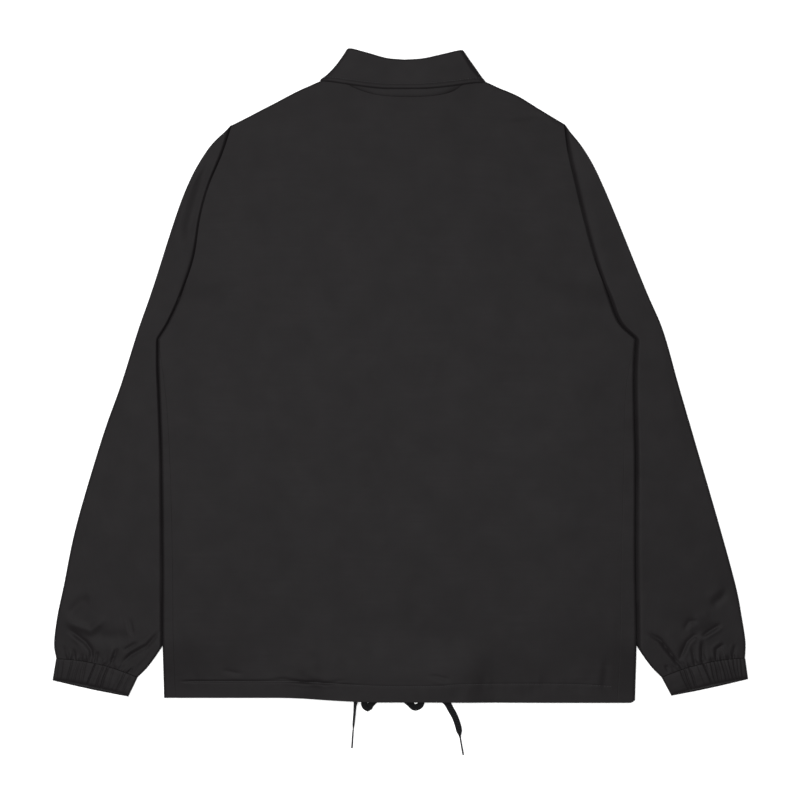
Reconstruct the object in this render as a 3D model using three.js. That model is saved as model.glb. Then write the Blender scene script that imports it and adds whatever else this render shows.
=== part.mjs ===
// Coach jacket in thin nylon, lying flat on a table with its back up.
// Millimetres. X runs across the jacket, Y from hem to collar, Z up from the table.
// Every cloth piece is a wall: an outer face of points, and the same points moved in by the cloth's thickness.
import * as THREE from 'three';

// Driving dimensions
const CLOTH = 1.2;            // wall of a single layer with its turnings
const HEM_WALL = 1.8;         // the hem is turned up double
const CUFF_WALL = 2;          // the cuff is double, with elastic in it
const SEAM_GAP = 0.3;         // between pieces sewn edge to edge
const SINGLE_WALL = 1;        // sleeves and collar
const HEM_Y = -391;
const HEM_BAND = 20;
const ARMPIT_Y = 44;
const ROLL = 2.6;             // radius of the rolled side
const BODY_HEIGHT = 6;        // top of the back over the table
const SLEEVE_LIFT = 3.6;      // how far the body's side is raised by the sleeve below it
const UNDER_SLEEVE = 3.3;     // height of a sleeve where the body lies on it
const SLEEVE_PUFF = 6.1;
const CUFF_HEIGHT = 7.6;
const CUFF_RIBS = 14;         // gathers on each face of a cuff
const RIB_DEPTH = 0.7;
const CUFF_MOUTH = 2.2;       // the cuff's upper face ends short of the lower one
const PLACKET = { right: 16, lift: 1.4, side: 34 };
const COLLAR_LIFT = 1.6;      // the fronts lie on the collar's points
const BOW = { x: -4, y: -384, lift: 4.1, halfX: 78, fadeX: 44, fadeY: 56 };
const SNAPS = { count: 5, radius: 7, height: 1, first: 232, pitch: 132, x: 1 };
const EYELET = { outer: 6, inner: 3, height: 0.8, y: -379 };
const HEM_DROP = 5.2;         // step of the hem line left of the centre
const SHOULDER_ROLL = BODY_HEIGHT / 2 - 2 * SEAM_GAP;  // radius of the back's and the fronts' rolled tops
const LACE = { width: 8, thick: 1 };
const AGLET = { radius: 0.9, length: 22 };

// Side edges of the body, and how far the side seams lie in on the back
const SIDES = [
  { y: -392, left: -283, right: 282, seamLeft: 14, seamRight: 22 },
  { y: -322, left: -284.4, right: 283.4, seamLeft: 13, seamRight: 20 },
  { y: -222, left: -284.4, right: 282, seamLeft: 12, seamRight: 17 },
  { y: -100, left: -285.6, right: 282, seamLeft: 10, seamRight: 14 },
  { y: -29, left: -288, right: 280.5, seamLeft: 8, seamRight: 11 },
  { y: 10, left: -289.6, right: 280.4, seamLeft: 5, seamRight: 6 },
  { y: 44, left: -289.7, right: 282.4, seamLeft: 0, seamRight: 0 },
];

// Armhole seams, from the armpit to the shoulder point
const ARMHOLES = [
  { y: 44, left: -289.7, right: 282.4 },
  { y: 63, left: -278, right: 262.8 },
  { y: 96, left: -262.8, right: 249.4 },
  { y: 141, left: -247.2, right: 232.2 },
  { y: 190, left: -239.2, right: 218.8 },
  { y: 227, left: -229.2, right: 210 },
  { y: 268, left: -212.4, right: 200.6 },
  { y: 301, left: -201.6, right: 196.4 },
];

// Top edge of the back: shoulder, neck, shoulder
const BACK_TOP = [
  { x: -201.6, y: 300.6 }, { x: -188.4, y: 307.2 }, { x: -156, y: 324 }, { x: -112.8, y: 343.2 },
  { x: -76, y: 358 }, { x: -56.4, y: 346 }, { x: -28.8, y: 337.2 }, { x: 4.8, y: 334.6 },
  { x: 38.4, y: 335.6 }, { x: 63, y: 341 }, { x: 88, y: 355.5 }, { x: 123.6, y: 343.2 },
  { x: 142.8, y: 334.8 }, { x: 165.6, y: 320.4 }, { x: 196.4, y: 301 },
];

// Top edge of each front, from the neck at the centre front to the shoulder point
const FRONT_TOP = {
  left: [
    { x: 16, y: 272.5 }, { x: -14, y: 274 }, { x: -42, y: 288 }, { x: -63, y: 312 }, { x: -76, y: 358 },
    { x: -112.8, y: 343.2 }, { x: -156, y: 324 }, { x: -188.4, y: 307.2 }, { x: -201.6, y: 300.6 },
  ],
  right: [
    { x: -14, y: 272.5 }, { x: 24, y: 274 }, { x: 54, y: 288 }, { x: 75, y: 312 }, { x: 88, y: 355.5 },
    { x: 123.6, y: 343.2 }, { x: 142.8, y: 334.8 }, { x: 165.6, y: 320.4 }, { x: 196.4, y: 301 },
  ],
};

// Sleeve stations from the armhole to the cuff: outer fold, inner fold, and how far the ring bows to the hand
const SLEEVES = {
  left: [
    { outerX: -201.6, outerY: 300.6, innerX: -268, innerY: 62, bow: 0 },
    { outerX: -231.6, outerY: 270, innerX: -276, innerY: 56, bow: 0 },
    { outerX: -260.4, outerY: 214.8, innerX: -281, innerY: 48, bow: 0 },
    { outerX: -296.6, outerY: 105, innerX: -283, innerY: 39, bow: 1 },
    { outerX: -314.4, outerY: 54, innerX: -278, innerY: 20, bow: 3 },
    { outerX: -334.8, outerY: -10.8, innerX: -254, innerY: -32, bow: 5 },
    { outerX: -357.6, outerY: -75.6, innerX: -234, innerY: -90, bow: 7 },
    { outerX: -388.2, outerY: -179.4, innerX: -234, innerY: -205, bow: 6 },
    { outerX: -403.2, outerY: -251.4, innerX: -258, innerY: -273, bow: 2 },
    { outerX: -410.9, outerY: -288, innerX: -282, innerY: -319, bow: -2 },
    { outerX: -414.8, outerY: -320, innerX: -300, innerY: -346, bow: -4 },
    { outerX: -412.3, outerY: -338.6, innerX: -314.4, innerY: -361.2, bow: -5 },
  ],
  right: [
    { outerX: 196.4, outerY: 301, innerX: 253, innerY: 62, bow: 0 },
    { outerX: 223.2, outerY: 267.6, innerX: 262.5, innerY: 56, bow: 0 },
    { outerX: 247, outerY: 220, innerX: 263, innerY: 52, bow: 0 },
    { outerX: 294, outerY: 105, innerX: 265, innerY: 42, bow: 1 },
    { outerX: 315.6, outerY: 54, innerX: 270, innerY: 20, bow: 3 },
    { outerX: 334, outerY: -10.8, innerX: 248, innerY: -32, bow: 5 },
    { outerX: 353, outerY: -76, innerX: 230, innerY: -90, bow: 7 },
    { outerX: 383, outerY: -179.4, innerX: 231, innerY: -205, bow: 6 },
    { outerX: 402.6, outerY: -251.4, innerX: 256, innerY: -273, bow: 2 },
    { outerX: 409.9, outerY: -289.2, innerX: 281, innerY: -319, bow: -2 },
    { outerX: 414.2, outerY: -318, innerX: 299, innerY: -346, bow: -4 },
    { outerX: 413.8, outerY: -337.9, innerX: 313.4, innerY: -361.2, bow: -5 },
  ],
};

// Cuffs: the ring at the sleeve and the ring at the hand
const CUFFS = {
  left: { hand: { outerX: -416.6, outerY: -365, innerX: -325.6, innerY: -384.5 } },
  right: { hand: { outerX: 417.4, outerY: -363.5, innerX: 325.4, innerY: -383.5 } },
};

// How far a sleeve reaches in under the body, from the body's side edge
const TUCK = [
  { y: -345, left: 0, right: 0 }, { y: -322, left: 8, right: 8 }, { y: -273, left: 35, right: 35 },
  { y: -205, left: 53, right: 53 }, { y: -110, left: 58, right: 58 }, { y: -68, left: 54, right: 53 },
  { y: -32, left: 42, right: 40 }, { y: 0, left: 27, right: 24 }, { y: 22, left: 13, right: 11 },
  { y: 44, left: 13, right: 15 }, { y: 62, left: 14, right: 13 }, { y: 80, left: 5, right: 5 },
];

// Main creases of the sleeves over the cuffs: a negative height is a trough
const SLEEVE_FOLDS = {
  left: [
    { x1: -398, y1: -300, x2: -370, y2: -330, width: 9, height: -1.6 },
    { x1: -392, y1: -312, x2: -374, y2: -338, width: 7, height: 1.4 },
    { x1: -286, y1: -303, x2: -334, y2: -344, width: 9, height: -1.8 },
    { x1: -284, y1: -318, x2: -318, y2: -356, width: 7, height: -1.4 },
    { x1: -345, y1: -318, x2: -350, y2: -344, width: 8, height: 1.6 },
    { x1: -372, y1: -262, x2: -403, y2: -288, width: 14, height: -1.2 },
    { x1: -324, y1: -288, x2: -318, y2: -312, width: 10, height: 1.3 },
    { x1: -370, y1: -310, x2: -326, y2: -312, width: 10, height: -1.5 },
  ],
  right: [
    { x1: 297, y1: -308, x2: 327, y2: -338, width: 9, height: -1.8 },
    { x1: 318, y1: -304, x2: 338, y2: -330, width: 9, height: 1.4 },
    { x1: 336, y1: -342, x2: 346, y2: -316, width: 8, height: -1.6 },
    { x1: 346, y1: -312, x2: 384, y2: -296, width: 9, height: -1.8 },
    { x1: 363, y1: -318, x2: 362, y2: -346, width: 8, height: -1.5 },
    { x1: 388, y1: -320, x2: 379, y2: -342, width: 8, height: -1.3 },
    { x1: 352, y1: -290, x2: 372, y2: -286, width: 12, height: 1.3 },
    { x1: 382, y1: -262, x2: 400, y2: -282, width: 13, height: -1.1 },
  ],
};

// Half of the collar, from the centre back round the side to the centre front. The turn column is the
// angle of the layer's outward side: 90 faces up, 0 faces sideways, -90 faces the table.
const COLLAR = {
  left: [
    { turn: 90, seamX: 5, seamY: 336, foldX: 5, foldY: 379, edgeX: 5, edgeY: 345 },
    { turn: 90, seamX: -14, seamY: 336.6, foldX: -16, foldY: 381, edgeX: -24, edgeY: 345.4 },
    { turn: 90, seamX: -34, seamY: 339.6, foldX: -36, foldY: 386.5, edgeX: -55, edgeY: 347.6 },
    { turn: 90, seamX: -58, seamY: 348.6, foldX: -54, foldY: 391.5, edgeX: -82, edgeY: 351.4 },
    { turn: 55, seamX: -66, seamY: 354.5, foldX: -57.6, foldY: 392, edgeX: -89.5, edgeY: 355 },
    { turn: 0, seamX: -68, seamY: 355, foldX: -58.4, foldY: 391.5, edgeX: -92.2, edgeY: 357 },
    { turn: -55, seamX: -66, seamY: 352, foldX: -57.6, foldY: 389, edgeX: -91, edgeY: 353.5 },
    { turn: -90, seamX: -61, seamY: 335, foldX: -51, foldY: 372, edgeX: -87, edgeY: 327 },
    { turn: -90, seamX: -44, seamY: 301, foldX: -33, foldY: 332, edgeX: -73, edgeY: 286 },
    { turn: -90, seamX: -22, seamY: 284, foldX: -16, foldY: 313, edgeX: -59, edgeY: 262 },
    { turn: -90, seamX: 0, seamY: 277, foldX: -1, foldY: 305, edgeX: -47, edgeY: 250 },
  ],
  right: [
    { turn: 90, seamX: 5, seamY: 336, foldX: 5, foldY: 379, edgeX: 5, edgeY: 345 },
    { turn: 90, seamX: 26, seamY: 336.4, foldX: 27, foldY: 380.5, edgeX: 34, edgeY: 345.2 },
    { turn: 90, seamX: 46, seamY: 338.6, foldX: 48, foldY: 385, edgeX: 62, edgeY: 347 },
    { turn: 90, seamX: 70, seamY: 347, foldX: 67, foldY: 389.4, edgeX: 88, edgeY: 350.5 },
    { turn: 55, seamX: 78, seamY: 352.5, foldX: 70.6, foldY: 390, edgeX: 95.6, edgeY: 353.6 },
    { turn: 0, seamX: 80, seamY: 353, foldX: 71.4, foldY: 389.5, edgeX: 98, edgeY: 355 },
    { turn: -55, seamX: 78, seamY: 350, foldX: 70.6, foldY: 387, edgeX: 96, edgeY: 351 },
    { turn: -90, seamX: 73, seamY: 334, foldX: 63, foldY: 371, edgeX: 94, edgeY: 326 },
    { turn: -90, seamX: 56, seamY: 301, foldX: 45, foldY: 332, edgeX: 82, edgeY: 286 },
    { turn: -90, seamX: 34, seamY: 284, foldX: 27, foldY: 313, edgeX: 70, edgeY: 262 },
    { turn: -90, seamX: 8, seamY: 277, foldX: 11, foldY: 305, edgeX: 57, edgeY: 250 },
  ],
};
const COLLAR_MIDDLE = 3.8;    // height of the middle of the flattened collar
const STAND_OUT = 2.2;        // outer face of the stand, from that middle
const FALL_OUT = 3.8;         // outer face of the fall's edge
const CREST_OUT = 5.4;        // outer face of the back just under the fold; the front lies flat
const CREST = 2.2;            // the fold's radius

// Routes of the lace's two halves, from eyelet to free end. Twist turns the flat lace on edge.
const LACES = {
  left: [
    { x: -60, y: -379, z: 2, twist: 0 }, { x: -48, y: -377, z: 1.9, twist: 0 },
    { x: -30, y: -374.5, z: 1.8, twist: 0 }, { x: -12, y: -373.5, z: 1.8, twist: 0 },
    { x: 2, y: -374.5, z: 1.6, twist: 0 }, { x: 14, y: -378, z: 1.1, twist: 0 },
    { x: 22.5, y: -386, z: 0.7, twist: 0 }, { x: 22, y: -394.5, z: 0.7, twist: 0 },
    { x: 14.5, y: -397.6, z: 0.7, twist: 0 }, { x: 7.5, y: -392.5, z: 0.9, twist: 0 },
    { x: 1, y: -386, z: 1.5, twist: 0 }, { x: -12, y: -383.5, z: 1.8, twist: 0 },
    { x: -27, y: -383.5, z: 1.5, twist: 0 }, { x: -42, y: -382.5, z: 0.7, twist: 0 },
    { x: -52, y: -387, z: 0.9, twist: 0 }, { x: -55, y: -396, z: 2.6, twist: 30 },
    { x: -55.2, y: -406, z: 4.3, twist: 66 }, { x: -55.4, y: -416.4, z: 4.5, twist: 72 },
    { x: -56.3, y: -424.6, z: 4.5, twist: 72 },
  ],
  right: [
    { x: 58, y: -379, z: 2.1, twist: 0 }, { x: 46, y: -377, z: 2.3, twist: 0 },
    { x: 30, y: -375, z: 3.1, twist: 0 }, { x: 12, y: -374, z: 3.1, twist: 0 },
    { x: -12, y: -373.5, z: 3.1, twist: 0 }, { x: -26, y: -374.5, z: 3.1, twist: 0 },
    { x: -37, y: -379, z: 3.1, twist: 0 }, { x: -42, y: -387, z: 3, twist: 0 },
    { x: -42, y: -396, z: 1.2, twist: 0 }, { x: -35.5, y: -398, z: 1.2, twist: 0 },
    { x: -31, y: -391, z: 2.9, twist: 0 }, { x: -25, y: -386, z: 3.1, twist: 0 },
    { x: -12, y: -383.5, z: 3.1, twist: 0 }, { x: 4, y: -383.5, z: 3.1, twist: 0 },
    { x: 22, y: -383.5, z: 3.1, twist: 0 }, { x: 44, y: -385, z: 2.2, twist: 0 },
    { x: 55, y: -390.5, z: 1, twist: 0 }, { x: 61, y: -400, z: 0.8, twist: 0 },
    { x: 66, y: -409.2, z: 1.7, twist: 15 }, { x: 70.3, y: -420, z: 2.7, twist: 30 },
    { x: 72.6, y: -429, z: 3.6, twist: 45 },
  ],
};

const mix = (a, b, t) => a + (b - a) * t;
const smooth = (from, to, at) => THREE.MathUtils.smoothstep(at, from, to);
const sideSign = (side) => (side === 'left' ? -1 : 1);

// Smooth reading of one column of a table whose rows rise in the key column
function read(rows, key, column, at) {
  const last = rows.length - 1;
  const x = THREE.MathUtils.clamp(at, rows[0][key], rows[last][key]);
  let i = 0;
  while (i < last - 1 && x > rows[i + 1][key]) i += 1;
  const slope = (a, b) => (rows[b][column] - rows[a][column]) / (rows[b][key] - rows[a][key]);
  const tangent = (k) => slope(Math.max(k - 1, 0), Math.min(k + 1, last));
  const span = rows[i + 1][key] - rows[i][key];
  const t = (x - rows[i][key]) / span;
  const [t2, t3] = [t * t, t * t * t];
  return (2 * t3 - 3 * t2 + 1) * rows[i][column] + (t3 - 2 * t2 + t) * span * tangent(i)
    + (3 * t2 - 2 * t3) * rows[i + 1][column] + (t3 - t2) * span * tangent(i + 1);
}

// Rows of a table turned into stations, so that a table without a rising column can be read by row number
function readRow(rows, column, at) {
  return read(rows.map((row, index) => ({ index, value: row[column] })), 'index', 'value', at);
}

// Cloth wall between an outer face of points and the same face moved in along its normals.
// A closed wall joins its last column to its first, as a tube does.
function clothWall(rows, columns, pointAt, { wall = () => CLOTH, closed = false, flip = false } = {}) {
  const at = (i, j) => i * columns + j;
  const outer = [];
  for (let i = 0; i < rows; i += 1) for (let j = 0; j < columns; j += 1) outer.push(pointAt(i, j));
  const inner = outer.map((point, index) => {
    const [i, j] = [Math.floor(index / columns), index % columns];
    const next = closed ? (j + 1) % columns : Math.min(j + 1, columns - 1);
    const before = closed ? (j + columns - 1) % columns : Math.max(j - 1, 0);
    const along = outer[at(Math.min(i + 1, rows - 1), j)].clone().sub(outer[at(Math.max(i - 1, 0), j)]);
    const across = outer[at(i, next)].clone().sub(outer[at(i, before)]);
    const normal = along.cross(across).normalize().multiplyScalar(flip ? -1 : 1);
    return point.clone().addScaledVector(normal, -wall(point, i, j));
  });
  const count = outer.length;
  const faces = [];
  const quad = (a, b, c, d) => faces.push(a, b, c, a, c, d);
  const lastColumn = closed ? columns : columns - 1;
  for (let i = 0; i < rows - 1; i += 1) {
    for (let j = 0; j < lastColumn; j += 1) {
      const k = (j + 1) % columns;
      quad(at(i, j), at(i + 1, j), at(i + 1, k), at(i, k));
      quad(count + at(i, j), count + at(i, k), count + at(i + 1, k), count + at(i + 1, j));
    }
  }
  for (let j = 0; j < lastColumn; j += 1) {
    const k = (j + 1) % columns;
    const end = rows - 1;
    quad(at(0, k), count + at(0, k), count + at(0, j), at(0, j));
    quad(at(end, j), count + at(end, j), count + at(end, k), at(end, k));
  }
  if (!closed) {
    for (let i = 0; i < rows - 1; i += 1) {
      const end = columns - 1;
      quad(at(i, 0), count + at(i, 0), count + at(i + 1, 0), at(i + 1, 0));
      quad(at(i + 1, end), count + at(i + 1, end), count + at(i, end), at(i, end));
    }
  }
  return solid([...outer, ...inner], faces);
}

// Geometry from points and faces, with its faces turned outward
function solid(points, faces) {
  let volume = 0;
  for (let f = 0; f < faces.length; f += 3) {
    const [a, b, c] = [points[faces[f]], points[faces[f + 1]], points[faces[f + 2]]];
    volume += a.dot(b.clone().cross(c));
  }
  const geometry = new THREE.BufferGeometry().setFromPoints(points);
  geometry.setIndex(volume > 0 ? faces : faces.reverse());
  geometry.computeVertexNormals();
  return geometry;
}

// The body's edge at a height y: the side below the armpit, the armhole seam above it
function edgeX(side, y) {
  return y < ARMPIT_Y ? read(SIDES, 'y', side, y) : read(ARMHOLES, 'y', side, y);
}

function seamInset(side, y) {
  return y < ARMPIT_Y ? read(SIDES, 'y', side === 'left' ? 'seamLeft' : 'seamRight', y) : 0;
}

// 1 where the sleeve is set between back and front, 0 where it lies under both
const setIn = (y) => smooth(78, 118, y);

// Lift of the body's side over the sleeve that is tucked under it
function sleeveLift(x, y) {
  const side = x < 0 ? 'left' : 'right';
  const inward = Math.abs(edgeX(side, y)) - Math.abs(x) - read(TUCK, 'y', side, y);
  return SLEEVE_LIFT * (1 - setIn(y)) * smooth(-368, -338, y) * (1 - smooth(9, 32, inward));
}

// Lift over the bow at the hem
function bowLift(x, y) {
  const across = 1 - smooth(BOW.halfX, BOW.halfX + BOW.fadeX, Math.abs(x - BOW.x));
  return BOW.lift * across * (1 - smooth(BOW.y + 20, BOW.y + 20 + BOW.fadeY, y));
}

// Lift of the fronts over the collar's points
function collarLift(x, y) {
  return COLLAR_LIFT * (1 - smooth(124, 150, Math.abs(x - 5))) * smooth(212, 238, y);
}

// Underside of the lower front, and top of the back
function frontUnder(x, y) {
  const placket = PLACKET.lift * (1 - smooth(PLACKET.right + 2, PLACKET.side, Math.abs(x - SNAPS.x)));
  return Math.max(placket, collarLift(x, y), bowLift(x, y)) + sleeveLift(x, y);
}

function backTop(x, y) {
  const edge = Math.abs(edgeX(x < 0 ? 'left' : 'right', y)) - Math.abs(x);
  const level = mix(2 * ROLL + SEAM_GAP, BODY_HEIGHT, smooth(6, 60, edge));
  return mix(level, BODY_HEIGHT, setIn(y)) + sleeveLift(x, y) + bowLift(x, y) * 0.95;
}

// A point on the rolled side at a distance s from the outermost line, below it when s is negative.
// Over the armhole the roll opens into the flat edges of back and front.
function sidePoint(side, y, s) {
  const quarter = ROLL * Math.PI / 2;
  const sign = sideSign(side);
  const edge = Math.abs(edgeX(side, y));
  const past = Math.max(Math.abs(s) - quarter, 0);
  const flatX = edge - ROLL - past;
  const low = frontUnder(sign * flatX, y);
  const high = backTop(sign * flatX, y);
  const [middle, half] = [(low + high) / 2, (high - low) / 2];
  const face = Math.sign(s) || 1;
  if (past > 0) return new THREE.Vector3(sign * flatX, y, middle + face * half);
  const open = setIn(y);
  const rolled = { x: edge - ROLL + ROLL * Math.cos(s / ROLL), z: middle + half * Math.sin(s / ROLL) };
  const flat = { x: edge - ROLL * Math.abs(s) / quarter, z: middle + face * half };
  return new THREE.Vector3(sign * mix(rolled.x, flat.x, open), y, mix(rolled.z, flat.z, open));
}

// Distance of the side seam past the outermost line
function seamDistance(side, y) {
  const inset = seamInset(side, y);
  const quarter = ROLL * Math.PI / 2;
  return inset < ROLL ? quarter * inset / ROLL : quarter + inset - ROLL;
}

// Point on a flat piece stretched between four edges
function stretched(u, t, bottom, top, start, end) {
  const edge = (a, b, f) => a.clone().lerp(b, f);
  const across = edge(start(t), end(t), u);
  const up = edge(bottom(u), top(u), t);
  const corners = edge(edge(bottom(0), bottom(1), u), edge(top(0), top(1), u), t);
  return across.add(up).sub(corners);
}

// Height stations of the body, as parts of the way from the hem to the armpit and on to the shoulder
const LOWER = [0, 0.046, 0.056, 0.11, 0.19, 0.3, 0.46, 0.64, 0.8, 0.9, 0.96, 1];
const UPPER = [0.07, 0.15, 0.22, 0.3, 0.45, 0.64, 0.84, 1];
const CURL = [25, 55, 90];    // degrees of the shoulder's rolled edge
const BODY_ROWS = LOWER.length + UPPER.length + CURL.length;
const ROW_PARTS = [...LOWER, ...UPPER.map((part) => 1 + part), ...CURL.map(() => 2)];
const ROW_TURNS = ROW_PARTS.map((part, row) => CURL[row - LOWER.length - UPPER.length] || 0);

// Height on a side edge, and the part of the whole piece that it stands for
function rowHeight(part) {
  const shoulder = ARMHOLES[ARMHOLES.length - 1].y;
  return part <= 1 ? mix(HEM_Y, ARMPIT_Y, part) : mix(ARMPIT_Y, shoulder - 2, part - 1);
}

function rowPart(row) {
  return (rowHeight(ROW_PARTS[row]) - HEM_Y) / (rowHeight(2) - HEM_Y);
}

const topCurve = (rows) => new THREE.CatmullRomCurve3(
  rows.map((row) => new THREE.Vector3(row.x, row.y, 0)), false, 'centripetal');

// The hem line, a little lower to the right, with the small step left of the centre
function hemLine(x) {
  return HEM_Y + HEM_DROP * (1 - smooth(-150, -20, x)) - 0.8 * smooth(0, 200, x);
}

const NECK = { x: 6, half: 82, fade: 8 };

// The shoulders roll over to the other side; the neck edge stays flat
function curlShoulder(point, degrees, direction) {
  const weight = smooth(NECK.half, NECK.half + NECK.fade, Math.abs(point.x - NECK.x));
  const angle = THREE.MathUtils.degToRad(degrees);
  const depth = SHOULDER_ROLL - collarLift(point.x, point.y) / 2;
  point.y += SHOULDER_ROLL * mix(degrees / 90, Math.sin(angle), weight);
  point.z += direction * weight * depth * (1 - Math.cos(angle));
  return point;
}

// Moves a point of the body with the hem line; the drop fades out up the body
function hang(point, row) {
  point.y += (hemLine(point.x) - HEM_Y) * (1 - smooth(0, 0.25, rowPart(row)));
  return point;
}

// Height of the back's top edge inside its roll
const shoulderY = (x) => read(BACK_TOP, 'x', 'y', x) - SHOULDER_ROLL;

// Brings the top of a side edge on to the sloping shoulder
function slopeTop(point, part) {
  point.y += (shoulderY(point.x) - rowHeight(2)) * smooth(0.85, 1, part);
  return point;
}

const BACK_COLUMNS = [0, 0.05, 0.11, 0.19, 0.3, 0.36, 0.42, 0.5, 0.58, 0.64, 0.7, 0.81, 0.89, 0.95, 1];
const BACK_EDGE = 4;          // columns on each rolled edge of the back
const BACK_REACH = 4;

function backPoint(row, column) {
  const y = rowHeight(ROW_PARTS[row]);
  const reach = (side, at) => ROLL * Math.PI / 2 + Math.max(seamInset(side, at) - ROLL, 0) + BACK_REACH;
  const edgeColumns = BACK_COLUMNS.length + BACK_EDGE;
  const inEdge = (side, part) => {
    const seam = seamDistance(side, y) + SEAM_GAP;
    return sidePoint(side, y, mix(seam, reach(side, y), part ** 1.5));
  };
  const part = rowPart(row);
  const edgePoint = (side, along) => (
    curlShoulder(slopeTop(hang(inEdge(side, along), row), part), ROW_TURNS[row], -1));
  if (column < BACK_EDGE) return edgePoint('left', column / BACK_EDGE);
  if (column >= edgeColumns) return edgePoint('right', (edgeColumns + BACK_EDGE - 1 - column) / BACK_EDGE);
  const u = BACK_COLUMNS[column - BACK_EDGE];
  const flat = (side) => (t) => {
    const at = mix(HEM_Y, rowHeight(2), t);
    const s = sidePoint(side, at, reach(side, at));
    return slopeTop(new THREE.Vector3(s.x, at, 0), t);
  };
  const [left, right] = [flat('left'), flat('right')];
  const bottom = (f) => new THREE.Vector3(mix(left(0).x, right(0).x, f), HEM_Y, 0);
  const crown = (f) => {
    const x = mix(left(1).x, right(1).x, f);
    return new THREE.Vector3(x, shoulderY(x), 0);
  };
  const point = hang(stretched(u, part, bottom, crown, left, right), row);
  point.z = backTop(point.x, point.y);
  return curlShoulder(point, ROW_TURNS[row], -1);
}

const hemWall = (point) => mix(HEM_WALL, CLOTH, smooth(HEM_Y + HEM_BAND, HEM_Y + HEM_BAND + 4, point.y));

function backPanel() {
  const columns = BACK_COLUMNS.length + 2 * BACK_EDGE;
  return clothWall(BODY_ROWS, columns, backPoint, { wall: hemWall, flip: true });
}

const FRONT_COLUMNS = [0, 0.05, 0.09, 0.15, 0.24, 0.36, 0.52, 0.68, 0.78, 0.87, 0.94, 1];
const FRONT_EDGE = 6;

function frontPoint(side, row, column) {
  const sign = sideSign(side);
  const rows = FRONT_TOP[side];
  const top = topCurve(rows);
  const y = rowHeight(ROW_PARTS[row]);
  const part = rowPart(row);
  if (column >= FRONT_COLUMNS.length) {
    const start = -ROLL * Math.PI / 2;
    const along = (column - FRONT_COLUMNS.length + 1) / FRONT_EDGE;
    const s = mix(start, seamDistance(side, y) - SEAM_GAP, along);
    return curlShoulder(slopeTop(hang(sidePoint(side, y, s), row), part), ROW_TURNS[row], 1);
  }
  const centre = rows[0].x;
  const start = (t) => new THREE.Vector3(centre, mix(HEM_Y, rows[0].y - SHOULDER_ROLL, t), 0);
  const end = (t) => {
    const at = mix(HEM_Y, rowHeight(2), t);
    return slopeTop(new THREE.Vector3(sign * (Math.abs(edgeX(side, at)) - ROLL), at, 0), t);
  };
  const bottom = (f) => new THREE.Vector3(mix(centre, end(0).x, f), HEM_Y, 0);
  const crown = (f) => {
    const point = top.getPointAt(f * 0.988);
    if (Math.abs(point.x - NECK.x) > NECK.half) point.y = read(BACK_TOP, 'x', 'y', point.x);
    point.y -= SHOULDER_ROLL;
    return point;
  };
  const point = hang(stretched(FRONT_COLUMNS[column], part, bottom, crown, start, end), row);
  point.z = frontUnder(point.x, point.y);
  if (side === 'right') {
    const lap = 1 - smooth(PLACKET.right + 9, PLACKET.side + 12, point.x);
    point.z += lap * (hemWall(point) + SEAM_GAP);
  }
  return curlShoulder(point, ROW_TURNS[row], 1);
}

function front(side) {
  const columns = FRONT_COLUMNS.length + FRONT_EDGE;
  const pointAt = (row, column) => frontPoint(side, row, column);
  return clothWall(BODY_ROWS, columns, pointAt, { wall: hemWall, flip: side === 'left' });
}

// Height of a crease at a point: a soft trough or ridge along a line, fading at its ends
function foldHeight(folds, x, y) {
  let height = 0;
  for (const fold of folds) {
    const [dx, dy] = [fold.x2 - fold.x1, fold.y2 - fold.y1];
    const length = Math.hypot(dx, dy);
    const along = ((x - fold.x1) * dx + (y - fold.y1) * dy) / length;
    const off = ((x - fold.x1) * dy - (y - fold.y1) * dx) / length;
    const fade = smooth(-fold.width, fold.width * 0.6, along)
      * (1 - smooth(length - fold.width * 0.6, length + fold.width, along));
    height += fold.height * fade * Math.exp(-((off / (fold.width * 0.55)) ** 2));
  }
  return height;
}

const RING = 32;              // points round a sleeve
const SLEEVE_PARTS = [-1, 0, 0.3, 0.65, 1, 1.5, 2, 2.6, 3.3, 4, 4.8, 5.6, 6.5, 7.3, 8, 8.6, 9.1, 9.6, 10.1, 10.6, 11];
const NEST = 3;               // how far the sleeve is set in at the armhole
const SLEEVE_LOW = 83;        // below this height the sleeve's seam turns in under the body

// Plan position on a sleeve ring, c running from the outer fold to the inner one
function sleevePlan(side, part, c) {
  const sign = sideSign(side);
  const rows = SLEEVES[side];
  const at = Math.max(part, 0);
  const value = (column) => readRow(rows, column, at);
  const outer = new THREE.Vector2(value('outerX'), value('outerY'));
  const inner = new THREE.Vector2(value('innerX'), value('innerY'));
  const point = outer.clone().lerp(inner, c);
  const hand = new THREE.Vector2(sign * (inner.y - outer.y), -sign * (inner.x - outer.x)).normalize();
  point.addScaledVector(hand, -value('bow') * 4 * c * (1 - c));
  const seamWeight = Math.max(1 - at, 0);
  if (seamWeight > 0) {
    const seamY = mix(rows[0].outerY, rows[0].innerY, c);
    const chordX = mix(rows[0].outerX, rows[0].innerX, c);
    point.x += seamWeight * (read(ARMHOLES, 'y', side, Math.max(seamY, SLEEVE_LOW)) - chordX);
  }
  if (part < 0.01) {
    const y = point.y;
    const nested = smooth(118, 128, y) * (1 - smooth(290, 298, y));
    point.x += sign * (part < 0 ? mix(0.5, -NEST, nested) : 1.2);
  }
  return point;
}

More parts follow.
